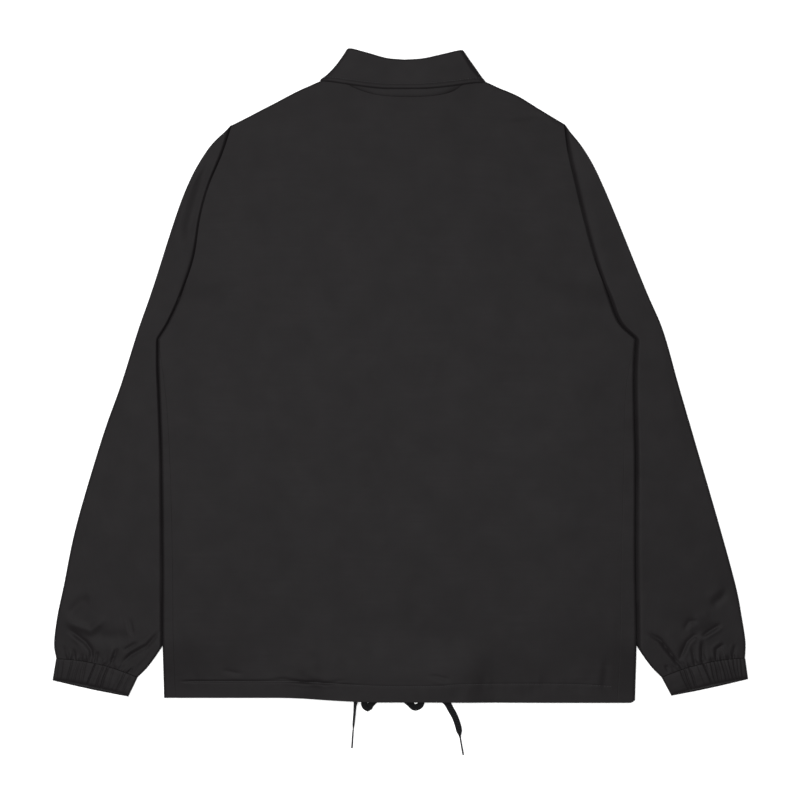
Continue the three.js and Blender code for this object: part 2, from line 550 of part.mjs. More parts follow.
function sleevePoint(side, part, j) {
  const angle = (j / RING) * 2 * Math.PI;
  const [cos, sin] = [Math.cos(angle), Math.sin(angle)];
  const c = (1 - cos) / 2;
  const plan = sleevePlan(side, part, c);
  const outside = Math.abs(plan.x) - Math.abs(edgeX(side, plan.y));
  const joined = setIn(plan.y) * (plan.y > ARMPIT_Y ? 1 : 0);
  const free = smooth(-352, -330, plan.y);
  const clear = mix(1, smooth(3, 18, outside), free);
  const rest = UNDER_SLEEVE + 1.15 * joined;
  let top = mix(rest, SLEEVE_PUFF, clear);
  const low = 1.75 * joined * (1 - smooth(1.5, 10, outside));
  const blunt = Math.min(1, Math.abs(sin) / 0.6) ** 0.36;
  const middle = (top + low) / 2;
  if (sin > 0) {
    const inside = smooth(0.06, 0.2, c) * (1 - smooth(0.8, 0.94, c));
    top += foldHeight(SLEEVE_FOLDS[side], plan.x, plan.y) * inside * clear;
    return new THREE.Vector3(plan.x, plan.y, middle + (top - middle) * blunt);
  }
  return new THREE.Vector3(plan.x, plan.y, middle - (middle - low) * blunt);
}

function sleeve(side) {
  const pointAt = (i, j) => sleevePoint(side, SLEEVE_PARTS[i], j);
  const wall = () => SINGLE_WALL;
  return clothWall(SLEEVE_PARTS.length, RING, pointAt, { wall, closed: true, flip: side === 'right' });
}

const CUFF_RING = CUFF_RIBS * 2 * 2;
const CUFF_STEPS = [0, 0.12, 0.88, 1];

function cuffPoint(side, i, j) {
  const part = CUFF_STEPS[i];
  const rows = SLEEVES[side];
  const wrist = rows[rows.length - 1];
  const { hand } = CUFFS[side];
  const angle = (j / CUFF_RING) * 2 * Math.PI;
  const c = (1 - Math.cos(angle)) / 2;
  const sin = Math.sin(angle);
  const start = new THREE.Vector2(mix(wrist.outerX, wrist.innerX, c), mix(wrist.outerY, wrist.innerY, c));
  const end = new THREE.Vector2(mix(hand.outerX, hand.innerX, c), mix(hand.outerY, hand.innerY, c));
  const down = end.clone().sub(start).normalize();
  start.addScaledVector(down, wrist.bow * 4 * c * (1 - c) + SEAM_GAP);
  end.addScaledVector(down, wrist.bow * c * (1 - c) - (sin > 0 ? CUFF_MOUTH * Math.sqrt(sin) : 0));
  const point = start.lerp(end, part);
  const blunt = Math.min(1, Math.abs(sin) / 0.6) ** 0.5;
  const rib = RIB_DEPTH * (0.5 + 0.5 * Math.cos(j * Math.PI)) * (part > 0 && part < 1 ? 1 : 0.4);
  const half = CUFF_HEIGHT / 2 - (sin > 0 ? RIB_DEPTH - rib : 0);
  return new THREE.Vector3(point.x, point.y, CUFF_HEIGHT / 2 + Math.sign(sin) * half * blunt);
}

function cuff(side) {
  const pointAt = (i, j) => cuffPoint(side, i, j);
  const wall = () => CUFF_WALL;
  return clothWall(CUFF_STEPS.length, CUFF_RING, pointAt, { wall, closed: true, flip: side === 'right' });
}

// Stations of the whole collar, from the left front end round the back to the right front end
const COLLAR_HALF = 16;
const COLLAR_STATIONS = 2 * COLLAR_HALF + 1;

function collarStation(index) {
  const side = index < COLLAR_HALF ? 'left' : 'right';
  const rows = COLLAR[side];
  const at = Math.abs(index - COLLAR_HALF) / COLLAR_HALF * (rows.length - 1);
  const value = (column) => readRow(rows, column, at);
  const turn = THREE.MathUtils.degToRad(THREE.MathUtils.clamp(value('turn'), -90, 90));
  const lateral = new THREE.Vector3(sideSign(side) * Math.cos(turn), 0.25 * Math.cos(turn), 0).normalize();
  const outward = lateral.multiplyScalar(Math.cos(turn)).add(new THREE.Vector3(0, 0, Math.sin(turn)));
  const place = (name) => new THREE.Vector3(value(`${name}X`), value(`${name}Y`), COLLAR_MIDDLE);
  return { outward, seam: place('seam'), fold: place('fold'), edge: place('edge') };
}

const STAND_PARTS = [0, 0.5, 1];

function standPoint(i, j) {
  const { outward, seam, fold } = collarStation(i);
  const reach = fold.clone().sub(seam);
  const part = STAND_PARTS[j] * (1 - (CREST + 3) / reach.length());
  return seam.clone().addScaledVector(reach, part).addScaledVector(outward, STAND_OUT);
}

function collarStand() {
  return clothWall(COLLAR_STATIONS, STAND_PARTS.length, standPoint, { wall: () => SINGLE_WALL });
}

// The fall rises from the stand's edge, turns over at the fold and lies down on the stand
const FALL_RISE = 2;
const FALL_ARC = 5;
const FALL_PARTS = [0.2, 0.6, 1];
const FALL_COLUMNS = FALL_RISE + FALL_ARC + FALL_PARTS.length;

function fallPoint(i, j) {
  const { outward, seam, fold, edge } = collarStation(i);
  const up = fold.clone().sub(seam).normalize();
  const down = edge.clone().sub(fold);
  const crestOut = mix(FALL_OUT, CREST_OUT, smooth(-0.2, 1, outward.z));
  const radius = (crestOut - STAND_OUT + SINGLE_WALL) / 2;
  if (j < FALL_RISE) {
    const back = mix(CREST + 2.1, CREST, j / FALL_RISE);
    return fold.clone().addScaledVector(up, -back).addScaledVector(outward, STAND_OUT - SINGLE_WALL);
  }
  if (j < FALL_RISE + FALL_ARC) {
    const angle = (j - FALL_RISE) / (FALL_ARC - 1) * Math.PI;
    const toward = up.clone().lerp(down.clone().normalize().negate(), angle / Math.PI).normalize();
    const out = STAND_OUT - SINGLE_WALL + radius * (1 - Math.cos(angle));
    return fold.clone().addScaledVector(toward, -CREST + CREST * Math.sin(angle))
      .addScaledVector(outward, out);
  }
  const part = FALL_PARTS[j - FALL_RISE - FALL_ARC];
  const from = fold.clone().addScaledVector(down.clone().normalize(), CREST);
  return from.lerp(edge, part).addScaledVector(outward, mix(crestOut, FALL_OUT, part ** 0.6));
}

function collarFall() {
  return clothWall(COLLAR_STATIONS, FALL_COLUMNS, fallPoint, { wall: () => SINGLE_WALL, flip: true });
}

// A flat lace follows its route with the section's wide side turned by the twist column
class LaceRoute extends THREE.CatmullRomCurve3 {
  constructor(rows) {
    super(rows.map((row) => new THREE.Vector3(row.x, row.y, row.z)), false, 'centripetal');
    this.rows = rows;
  }

  computeFrenetFrames(segments) {
    const frames = { tangents: [], normals: [], binormals: [] };
    for (let i = 0; i <= segments; i += 1) {
      const tangent = this.getTangentAt(i / segments);
      const at = this.getUtoTmapping(i / segments) * (this.rows.length - 1);
      const twist = THREE.MathUtils.degToRad(readRow(this.rows, 'twist', at));
      const across = new THREE.Vector3(0, 0, 1).cross(tangent).normalize();
      across.applyAxisAngle(tangent, twist);
      frames.tangents.push(tangent);
      frames.normals.push(across);
      frames.binormals.push(tangent.clone().cross(across));
    }
    return frames;
  }
}

function laceSection() {
  const [half, thin] = [LACE.width / 2, LACE.thick / 2];
  const bevel = 0.3;
  const corners = [
    [half, thin - bevel], [half - 2 * bevel, thin], [2 * bevel - half, thin], [-half, thin - bevel],
    [-half, bevel - thin], [2 * bevel - half, -thin], [half - 2 * bevel, -thin], [half, bevel - thin],
  ];
  return new THREE.Shape(corners.map(([x, y]) => new THREE.Vector2(x, y)));
}

function lace(side) {
  const extrudePath = new LaceRoute(LACES[side]);
  return new THREE.ExtrudeGeometry(laceSection(), { steps: 52, extrudePath });
}

// The turn of lace round the bow's middle, a strip bent up at both ends
function bowWrap() {
  const rows = [-1, -0.8, 0, 0.8, 1];
  const pointAt = (i, j) => new THREE.Vector3(
    -12 + mix(-4, 4, j / 3), -378.5 + rows[i] * 12.5, Math.abs(rows[i]) > 0.9 ? 2 : 0);
  return clothWall(rows.length, 4, pointAt, { wall: () => LACE.thick });
}

function turned(profile, sides) {
  const points = profile.map(([radius, height]) => new THREE.Vector2(radius, height));
  return new THREE.LatheGeometry(points, sides).rotateX(Math.PI / 2);
}

const snapCap = () => turned([[0, 0], [SNAPS.radius - 1, 0], [SNAPS.radius, 0.6],
  [0, SNAPS.height]], 16);

const eyelet = () => turned([[EYELET.inner, 0], [EYELET.outer - 0.6, 0], [EYELET.outer, 0.4],
  [EYELET.inner, EYELET.height], [EYELET.inner, 0]], 16);

const nylon = () => new THREE.MeshStandardMaterial({ color: 0x2b2b2b, roughness: 0.75, side: THREE.DoubleSide });
const laceCotton = () => new THREE.MeshStandardMaterial({ color: 0x1c1c1c, roughness: 0.9 });
const metal = (color) => new THREE.MeshStandardMaterial({ color, roughness: 0.35, metalness: 1 });

function node(name, geometry, material) {
  const mesh = new THREE.Mesh(geometry, material);
  mesh.name = name;
  return mesh;
}

// A metal tip pushed on to the lace's end, in line with its last stretch
function aglet(side) {
  const rows = LACES[side];
  const [before, last] = rows.slice(-2).map((row) => new THREE.Vector3(row.x, row.y, row.z));
  const way = last.clone().sub(before).setZ(0).normalize();
  const mesh = node(`aglet_${side}`, new THREE.CylinderGeometry(AGLET.radius, AGLET.radius, AGLET.length, 10),
    metal(0x8d8d90));
  mesh.quaternion.setFromUnitVectors(new THREE.Vector3(0, 1, 0), way);
  mesh.position.copy(last).addScaledVector(way, AGLET.length / 2 + SEAM_GAP + 0.3);
  return mesh;
}

const jacket = new THREE.Group();
jacket.add(node('back_panel', backPanel(), nylon()));
jacket.add(node('collar_stand', collarStand(), nylon()));
jacket.add(node('collar_fall', collarFall(), nylon()));
jacket.add(node('bow_wrap', bowWrap(), laceCotton()));
for (const side of ['left', 'right']) {
  jacket.add(node(`front_${side}`, front(side), nylon()));
  jacket.add(node(`sleeve_${side}`, sleeve(side), nylon()));
  jacket.add(node(`cuff_${side}`, cuff(side), nylon()));
  jacket.add(node(`lace_${side}`, lace(side), laceCotton()));
  jacket.add(aglet(side));
  const ring = node(`eyelet_${side}`, eyelet(), metal(0x5a5a5c));
  const start = LACES[side][0];
  ring.position.set(start.x, EYELET.y, start.z + LACE.thick / 2 + SEAM_GAP);
  jacket.add(ring);
}
for (let i = 0; i < SNAPS.count; i += 1) {
  const cap = node(`snap_${i + 1}`, snapCap(), metal(0x2a2a2c));
  cap.position.set(SNAPS.x, SNAPS.first - i * SNAPS.pitch, 0);
  jacket.add(cap);
}

// The origin lies under the middle of the cloth's outline, without the lace
const cloth = new THREE.Box3();
for (const mesh of jacket.children) if (!/lace|aglet|bow/.test(mesh.name)) cloth.expandByObject(mesh, true);
const middle = cloth.getCenter(new THREE.Vector3());
jacket.position.set(-middle.x, -middle.y, -cloth.min.z);

export default jacket;
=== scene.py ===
# Coach jacket in thin nylon taffeta, lying flat on a table with its back up.
# Tables and point functions are in millimetres, as in the part's source; place() brings them into
# the part's frame, in metres.
import math
from functools import cache, partial

import bmesh
import bpy
from mathutils import Matrix, Vector, noise


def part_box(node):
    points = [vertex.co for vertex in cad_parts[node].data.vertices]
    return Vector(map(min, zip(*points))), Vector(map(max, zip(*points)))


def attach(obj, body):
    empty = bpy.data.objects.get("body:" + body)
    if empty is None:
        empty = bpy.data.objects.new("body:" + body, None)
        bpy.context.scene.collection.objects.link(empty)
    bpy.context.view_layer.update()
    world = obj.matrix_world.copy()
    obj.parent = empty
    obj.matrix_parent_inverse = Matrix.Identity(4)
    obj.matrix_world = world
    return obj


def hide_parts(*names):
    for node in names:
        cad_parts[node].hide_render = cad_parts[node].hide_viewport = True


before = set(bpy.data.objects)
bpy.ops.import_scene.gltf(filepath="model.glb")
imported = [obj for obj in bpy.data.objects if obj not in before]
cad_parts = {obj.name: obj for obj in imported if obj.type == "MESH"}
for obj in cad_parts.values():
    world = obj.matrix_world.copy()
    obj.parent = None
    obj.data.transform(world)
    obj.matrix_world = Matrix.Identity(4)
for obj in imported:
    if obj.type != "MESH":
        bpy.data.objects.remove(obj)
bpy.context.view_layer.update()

MM = 0.001
SNAP_TOP = (1, 232)  # where the part's source puts its first snap
snap_low, snap_high = (Vector(corner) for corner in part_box("snap_1"))
SHIFT = (snap_low + snap_high) / 2 - Vector((*SNAP_TOP, 0)) * MM
SHIFT.z = snap_low.z


def place(point):
    """A point of the tables, in metres in the part's frame."""
    return Vector(point) * MM + SHIFT


# Driving dimensions, the same as the solids', but for the thinner walls of the sleeves
CLOTH = 1.2
SLEEVE_WALL = 0.6
CUFF_WALL = 2
SINGLE_WALL = 1
TURNED_EDGE = 0.15  # rounding of a cloth's edge, as a share of its wall
SEAM_GAP = 0.3
HEM_Y = -391
ARMPIT_Y = 44
ROLL = 2.6  # radius of the body's rolled sides
BODY_HEIGHT = 6
SLEEVE_LIFT = 3.6
UNDER_SLEEVE = 3.3
SLEEVE_PUFF = 6.1
CUFF_HEIGHT = 7.6
CUFF_MOUTH = 2.2
PLACKET_RIGHT, PLACKET_LIFT, PLACKET_SIDE = 16, 1.4, 34
COLLAR_LIFT = 1.6
LAP_LIFT = CLOTH + 0.6 + SEAM_GAP  # of the right front's lap, which has the left one below it
BOW_X, BOW_TOP, BOW_LIFT, BOW_HALF, BOW_FADE_X, BOW_FADE_Y = -4, -364, 4.1, 78, 44, 56
LACE_WIDTH, LACE_THICK = 8, 1
AGLET_LENGTH, AGLET_OVERLAP = 22, 0.6
SNAP_COUNT, SNAP_STEP = 5, 132
NECK_X, NECK_HALF = 6, 82


def table(columns, *rows):
    """Columns of a table by name, with the row numbers under the name row."""
    named = {name: [row[k] for row in rows] for k, name in enumerate(columns.split())}
    return {**named, "row": list(range(len(rows)))}


SIDES = table(
    "y left right seam_left seam_right",
    (-392, -283, 282, 14, 22), (-322, -284.4, 283.4, 13, 20), (-222, -284.4, 282, 12, 17),
    (-100, -285.6, 282, 10, 14), (-29, -288, 280.5, 8, 11), (10, -289.6, 280.4, 5, 6),
    (44, -289.7, 282.4, 0, 0),
)
ARMHOLES = table(
    "y left right",
    (44, -289.7, 282.4), (63, -278, 262.8), (96, -262.8, 249.4), (141, -247.2, 232.2),
    (190, -239.2, 218.8), (227, -229.2, 210), (268, -212.4, 200.6), (301, -201.6, 196.4),
)
BACK_TOP = table(
    "x y",
    (-201.6, 300.6), (-188.4, 307.2), (-156, 324), (-112.8, 345.8), (-76, 358), (-56.4, 346),
    (-28.8, 337.2), (4.8, 334.6), (38.4, 335.6), (63, 341), (88, 355.5), (123.6, 343.2),
    (142.8, 334.8), (165.6, 320.8), (196.4, 302.2),
)
FRONT_TOP = {
    "left": [(16, 272.5), (-14, 274), (-42, 288), (-63, 312), (-76, 358), (-112.8, 343.2),
             (-156, 324), (-188.4, 307.2), (-201.6, 300.6)],
    "right": [(-14, 272.5), (24, 274), (54, 288), (75, 312), (88, 355.5), (123.6, 343.2),
              (142.8, 334.8), (165.6, 320.4), (196.4, 301)],
}
SLEEVES = {
    "left": table(
        "outer_x outer_y inner_x inner_y bow",
        (-201.6, 300.6, -268, 62, 0), (-231.6, 270, -276, 56, 0), (-260.4, 214.8, -281, 48, 0),
        (-296.6, 105, -283, 39, 1), (-314.4, 54, -278, 20, 3), (-334.8, -10.8, -254, -32, 5),
        (-357.6, -75.6, -234, -90, 7), (-388.2, -179.4, -234, -205, 6), (-403.2, -251.4, -258, -273, 2),
        (-410.9, -288, -282, -319, -2), (-414.8, -320, -300, -346, -4),
        (-412.3, -338.6, -314.4, -361.2, -5),
    ),
    "right": table(
        "outer_x outer_y inner_x inner_y bow",
        (196.4, 302, 253, 62, 0), (223.2, 267.6, 262.5, 56, 0), (247, 220, 263, 52, 0),
        (294, 105, 265, 42, 1), (315.6, 54, 270, 20, 3), (334, -10.8, 248, -32, 5),
        (353, -76, 230, -90, 7), (383, -179.4, 231, -205, 6), (402.6, -251.4, 256, -273, 2),
        (409.9, -289.2, 281, -319, -2), (414.2, -318, 299, -346, -4),
        (413.8, -337.9, 313.4, -361.2, -5),
    ),
}
CUFF_HANDS = {"left": ((-416.6, -365), (-325.6, -384.5)), "right": ((417.4, -363.5), (325.4, -383.5))}
TUCK = table(
    "y left right",
    (-345, 0, 0), (-322, 8, 8), (-273, 35, 35), (-205, 53, 53), (-110, 58, 58), (-68, 54, 53),
    (-32, 42, 40), (0, 27, 24), (22, 13, 11), (44, 13, 15), (62, 14, 13), (80, 5, 5),
)
COLLAR = {
    "left": table(
        "turn seam_x seam_y fold_x fold_y edge_x edge_y",
        (90, 5, 336, 5, 379, 5, 343.7), (90, -14, 336.6, -16, 381, -24, 344.2),
        (90, -34, 339.6, -36, 386.5, -55, 348), (90, -58, 348.6, -54, 391.5, -82, 352),
        (55, -66, 354.5, -57.6, 392, -90, 352.6), (0, -68, 355, -58.4, 391.5, -92.8, 353),
        (-55, -66, 352, -57.6, 389, -91.5, 350), (-90, -61, 335, -51, 372, -87, 327),
        (-90, -44, 301, -33, 332, -73, 286), (-90, -22, 284, -16, 313, -59, 262),
        (-90, 0, 277, -1, 305, -47, 250),
    ),
    "right": table(
        "turn seam_x seam_y fold_x fold_y edge_x edge_y",
        (90, 5, 336, 5, 379, 5, 343.7), (90, 26, 336.4, 27, 380.5, 34, 344.2),
        (90, 46, 338.6, 48, 385, 62, 347), (90, 70, 347, 67, 389.4, 88, 350.5),
        (55, 78, 352.5, 70.6, 390, 96.5, 350.6), (0, 80, 353, 71.4, 389.5, 99.3, 350.6),
        (-55, 78, 350, 70.6, 387, 97, 347.6), (-90, 73, 334, 63, 371, 94, 326),
        (-90, 56, 301, 45, 332, 82, 286), (-90, 34, 284, 27, 313, 70, 262),
        (-90, 8, 277, 11, 305, 57, 250),
    ),
}
COLLAR_MIDDLE, STAND_OUT, FALL_OUT, CREST_OUT, CREST = 3.8, 2.2, 3.8, 5.4, 2.2

# Routes of the lace's halves from eyelet to free end: x, y, z and the twist that turns it on edge
LACES = {
    "left": [
        (-60, -379, 2, 0), (-48, -377, 1.9, 0), (-30, -374.5, 1.8, 0), (-12, -373.5, 1.8, 0),
        (2, -374.5, 1.6, 0), (16, -377.5, 1.1, 0), (25, -386, 0.7, 0), (24.5, -394.5, 0.7, 0),
        (17.5, -397.6, 0.7, 0), (11.5, -392.5, 0.9, 0), (2, -385.5, 1.5, 0), (-12, -383.5, 1.8, 0),
        (-27, -383.5, 1.5, 0), (-42, -382.5, 0.7, 0), (-51, -386, 2.2, 30), (-53.6, -394, 4, 62),
        (-54.6, -405, 4.4, 69), (-55.6, -416, 4.4, 72), (-56.2, -425, 4.4, 74),
    ],
    "right": [
        (58, -379, 2.1, 0), (46, -377, 2.3, 0), (30, -375, 3.1, 0), (12, -374, 3.1, 0),
        (-12, -373.5, 3.1, 0), (-26, -374.5, 3.1, 0), (-36.5, -379, 3.1, 0), (-42, -387, 3, 0),
        (-42.4, -395, 1.4, 0), (-38.2, -398.6, 1.2, 0), (-34.4, -393, 2.7, 0), (-26, -386, 3.1, 0),
        (-12, -383.5, 3.1, 0), (4, -383.5, 3.1, 0), (22, -383.5, 3.1, 0), (44, -385, 2.2, 0),
        (55, -390.5, 1, 0), (61, -400, 0.8, 0), (66, -409.2, 1.7, 15), (70, -421, 2.4, 20),
        (72.2, -433.5, 2.8, 30),
    ],
}


# Reading tables and making meshes

def mix(a, b, t):
    return a + (b - a) * t


def smooth(start, end, at):
    """0 before start, 1 after end and an even turn between them, also where end is the lower one."""
    t = min(max((at - start) / (end - start), 0), 1)
    return t * t * (3 - 2 * t)


def bell(x, width):
    """1 at zero, and next to nothing at twice the width."""
    return math.exp(-(x / width) ** 2)


def uneven(x, y, seed):
    """Smooth unevenness from -1 to 1, about a unit from one rise to the next."""
    return noise.noise(Vector((x, y, seed)))


SIGN = {"left": -1, "right": 1}


def read(rows, key, column, at):
    """Smooth reading of one column of a table whose rows rise in the key column."""
    keys, values = rows[key], rows[column]
    last = len(keys) - 1
    x = min(max(at, keys[0]), keys[last])
    i = 0
    while i < last - 1 and x > keys[i + 1]:
        i += 1

    def tangent(k):
        a, b = max(k - 1, 0), min(k + 1, last)
        return (values[b] - values[a]) / (keys[b] - keys[a])

    span = keys[i + 1] - keys[i]
    t = (x - keys[i]) / span
    t2, t3 = t * t, t * t * t
    return ((2 * t3 - 3 * t2 + 1) * values[i] + (t3 - 2 * t2 + t) * span * tangent(i)
            + (3 * t2 - 2 * t3) * values[i + 1] + (t3 - t2) * span * tangent(i + 1))


def plan_at(rows, name, at):
    """Plan position in a table's two columns of that name, at a row or between two rows."""
    return [read(rows, "row", f"{name}_{axis}", at) for axis in "xy"]


class Route:
    """A centripetal curve through points, read by its length."""

    def __init__(self, points, steps=12):
        self.points = [Vector(point) for point in points]
        count = (len(points) - 1) * steps
        self.rows = [k / steps for k in range(count + 1)]
        self.lengths = [0.0]
        for before, after in zip(self.rows, self.rows[1:]):
            self.lengths.append(self.lengths[-1] + (self.at_row(after) - self.at_row(before)).length)
        self.length = self.lengths[-1]

    def at_row(self, row):
        last = len(self.points) - 1
        i = min(int(row), last - 1)
        p1, p2 = self.points[i], self.points[i + 1]
        p0 = self.points[i - 1] if i > 0 else 2 * p1 - p2
        p3 = self.points[i + 2] if i + 2 <= last else 2 * p2 - p1
        d0, d1, d2 = ((b - a).length ** 0.5 for a, b in ((p0, p1), (p1, p2), (p2, p3)))
        start = ((p1 - p0) / d0 - (p2 - p0) / (d0 + d1) + (p2 - p1) / d1) * d1
        end = ((p2 - p1) / d1 - (p3 - p1) / (d1 + d2) + (p3 - p2) / d2) * d1
        t = row - i
        return (p1 + start * t + (3 * (p2 - p1) - 2 * start - end) * t ** 2
                + (2 * (p1 - p2) + start + end) * t ** 3)

    def row_at(self, part):
        """Row number at a part of the whole length."""
        distance = min(max(part, 0), 1) * self.length
        k = 0
        while k < len(self.lengths) - 2 and self.lengths[k + 1] < distance:
            k += 1
        step = self.lengths[k + 1] - self.lengths[k]
        return mix(self.rows[k], self.rows[k + 1], min((distance - self.lengths[k]) / step, 1))

    def at(self, part):
        return self.at_row(self.row_at(part))

    def tangent(self, part):
        return (self.at(min(part + 0.002, 1)) - self.at(max(part - 0.002, 0))).normalized()


def grid_piece(name, columns, rows, point_at, flip=False, closed=False):
    """A grid of faces whose vertices go to point_at(column, row). Its map follows the cloth in metres.
    A closed grid is a tube: its last column lies on its first."""
    bm = bmesh.new()
    across, along = len(columns) - 1, len(rows) - 1
    bmesh.ops.create_grid(bm, x_segments=across, y_segments=along, size=0.5)
    cells = {}
    for vertex in bm.verts:
        i = round((vertex.co.x + 0.5) * across)
        j = round((vertex.co.y + 0.5) * along)
        cells[vertex] = (i, j)
        vertex.co = place(point_at(columns[i], rows[j]))
    at = {cell: vertex.co for vertex, cell in cells.items()}
    weft, warp = {}, {}
    for j in range(along + 1):
        for i in range(across + 1):
            weft[i, j] = weft[i - 1, j] + (at[i, j] - at[i - 1, j]).length if i else 0
            warp[i, j] = warp[i, j - 1] + (at[i, j] - at[i, j - 1]).length if j else 0
    cloth_map = bm.loops.layers.uv.new("cloth")
    for face in bm.faces:
        for loop in face.loops:
            cell = cells[loop.vert]
            loop[cloth_map].uv = (weft[cell] - weft[across, cell[1]] / 2, warp[cell])
    if flip:
        bmesh.ops.reverse_faces(bm, faces=bm.faces)
    if closed:
        bmesh.ops.remove_doubles(bm, verts=bm.verts, dist=2e-6)
    return finished(name, bm)


def linked(name, data):
    """A new object in the scene, at the origin."""
    made = bpy.data.objects.new(name, data)
    bpy.context.scene.collection.objects.link(made)
    return made


def finished(name, bm, material=None):
    """An object from a bmesh, smooth all over."""
    mesh = bpy.data.meshes.new(name)
    for face in bm.faces:
        face.smooth = True
    bm.to_mesh(mesh)
    bm.free()
    if material:
        mesh.materials.append(material)
    return linked(name, mesh)


def stand_for(piece, node):
    """Puts a piece on the body in place of the node that it shows."""
    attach(piece, "root")
    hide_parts(node)


def cloth_piece(name, columns, rows, point_at, wall, **options):
    """A sheet whose outer face is the grid, its thickness inside it and its edges rounded."""
    piece = grid_piece(name, columns, rows, point_at, **options)
    thickness = piece.modifiers.new("cloth thickness", "SOLIDIFY")
    thickness.thickness = wall * MM
    thickness.offset = -1
    edges = piece.modifiers.new("turned edges", "BEVEL")
    edges.width = wall * MM * TURNED_EDGE
    edges.segments = 2
    edges.limit_method = "ANGLE"
    edges.angle_limit = math.radians(60)
    return piece


# Materials

def linear(colour):
    """Linear colour of an sRGB hex value."""
    channels = [int(colour[k:k + 2], 16) / 255 for k in (1, 3, 5)]
    return (*[c / 12.92 if c <= 0.04045 else ((c + 0.055) / 1.055) ** 2.4 for c in channels], 1)


def add(tree, kind, inputs=None, **settings):
    """Adds a node with its settings; an input is given a value or another node's output."""
    node = tree.nodes.new("ShaderNode" + kind)
    for name, value in settings.items():
        setattr(node, name, value)
    for socket, value in (inputs or {}).items():
        if isinstance(value, bpy.types.NodeSocket):
            tree.links.new(value, node.inputs[socket])
        else:
            node.inputs[socket].default_value = value
    return node


def per_mm(size):
    """Texture scale for features of that many millimetres."""
    return 1000 / size


def new_material(name, values):
    """A material whose surface node has those values; gives its node tree and the surface node too."""
    material = bpy.data.materials.new(name)
    material.use_nodes = True
    tree = material.node_tree
    surface = tree.nodes["Principled BSDF"]
    for socket, value in values.items():
        surface.inputs[socket].default_value = value
    return material, tree, surface


def grain(tree, size, detail, **more):
    """Noise fixed to the object, with features of that many millimetres."""
    place_on = add(tree, "TexCoord").outputs["Object"]
    noise_inputs = {"Vector": place_on, "Scale": per_mm(size), "Detail": detail, **more}
    return add(tree, "TexNoise", noise_inputs).outputs["Fac"]


def bands(tree, place_on, pitch, direction, **more):
    """Even bands, that many millimetres from one to the next."""
    scale = per_mm(pitch) * 2 / math.tau
    return add(tree, "TexWave", {"Vector": place_on, "Scale": scale, **more}, wave_type="BANDS",
               bands_direction=direction, wave_profile="SIN").outputs["Fac"]


def blend(tree, surface, part, dark, light):
    """Base colour between two hex colours."""
    colour = add(tree, "Mix", {"Factor": part, 6: linear(dark), 7: linear(light)}, data_type="RGBA")
    tree.links.new(colour.outputs[2], surface.inputs["Base Color"])


def emboss(tree, surface, height, strength, distance, **more):
    """Bumps of a height in metres on a surface."""
    bump = add(tree, "Bump", {"Height": height, "Strength": strength, "Distance": distance, **more})
    tree.links.new(bump.outputs["Normal"], surface.inputs["Normal"])


def nylon_taffeta(name, dark, light):
    """Plain-woven nylon, calendered: flat and nearly black, with a faint sheen along its folds.
    The real threads are 0.1 mm apart; they are drawn at 1.4 mm, as fine as the render shows."""
    material, tree, surface = new_material(name, {
        "Specular IOR Level": 0.058, "Sheen Weight": 0.01, "Sheen Roughness": 0.4})
    cloth_map = add(tree, "UVMap", uv_map="cloth").outputs["UV"]
    uneven = {"Distortion": 0.6, "Detail": 1, "Detail Scale": 1.5}
    warp, weft = (bands(tree, cloth_map, 1.4, direction, **uneven) for direction in ("X", "Y"))
    weave = add(tree, "Math", {0: warp, 1: weft}, operation="MULTIPLY").outputs["Value"]
    # Streaks along the threads: slubs of the yarn, with a painted sheen along them drawn into the base
    # colour
    slub_and_sheen_mapping = add(tree, "Mapping", {"Vector": cloth_map, "Scale": (per_mm(90), per_mm(2.2), 1)})
    slub_and_sheen_streaks = add(tree, "TexNoise", {"Vector": slub_and_sheen_mapping.outputs["Vector"], "Scale": 1, "Detail": 2})
    mottle = grain(tree, 46, 3, Roughness=0.55)
    tone = add(tree, "MapRange", {"Value": mottle, "From Min": 0.3, "From Max": 0.7})
    # Base colour: random tone times the streaks, so it carries the painted sheen as well as the slubs
    tone_and_sheen = add(tree, "Math", {0: tone.outputs["Result"], 1: slub_and_sheen_streaks.outputs["Fac"]},
                operation="MULTIPLY")
    blend(tree, surface, tone_and_sheen.outputs["Value"], dark, light)
    crumples = grain(tree, 14, 4, Roughness=0.5)
    soft = add(tree, "Bump", {"Height": crumples, "Strength": 0.05, "Distance": 0.002})
    emboss(tree, surface, weave, 0.12, 0.0002, Normal=soft.outputs["Normal"])
    gloss = add(tree, "MapRange", {"Value": crumples, "To Min": 0.4, "To Max": 0.48})
    tree.links.new(gloss.outputs["Result"], surface.inputs["Roughness"])
    return material


def flat_braid(name, dark, light):
    """Flat woven polyester lace: matt, with slanting strands 1.6 mm wide that meet in its middle."""
    material, tree, surface = new_material(name, {"Roughness": 0.85, "Specular IOR Level": 0.08})
    cloth_map = add(tree, "UVMap", uv_map="cloth").outputs["UV"]
    parts = add(tree, "SeparateXYZ", {"Vector": cloth_map})
    middle = add(tree, "Math", {0: parts.outputs["X"]}, operation="ABSOLUTE")
    slant = add(tree, "CombineXYZ", {"X": middle.outputs["Value"], "Y": parts.outputs["Y"]})
    strands = bands(tree, slant.outputs["Vector"], 1.6, "DIAGONAL")
    blend(tree, surface, strands, dark, light)
    emboss(tree, surface, strands, 0.6, 0.0004)
    return material


def spun_thread(name, colour):
    """Polyester sewing thread, two plies twisted, slightly glossier than the cloth."""
    material, tree, surface = new_material(name, {"Base Color": linear(colour), "Roughness": 0.5})
    plies = bands(tree, add(tree, "TexCoord").outputs["Object"], 0.5, "DIAGONAL")
    emboss(tree, surface, plies, 0.4, 0.0001)
    return material


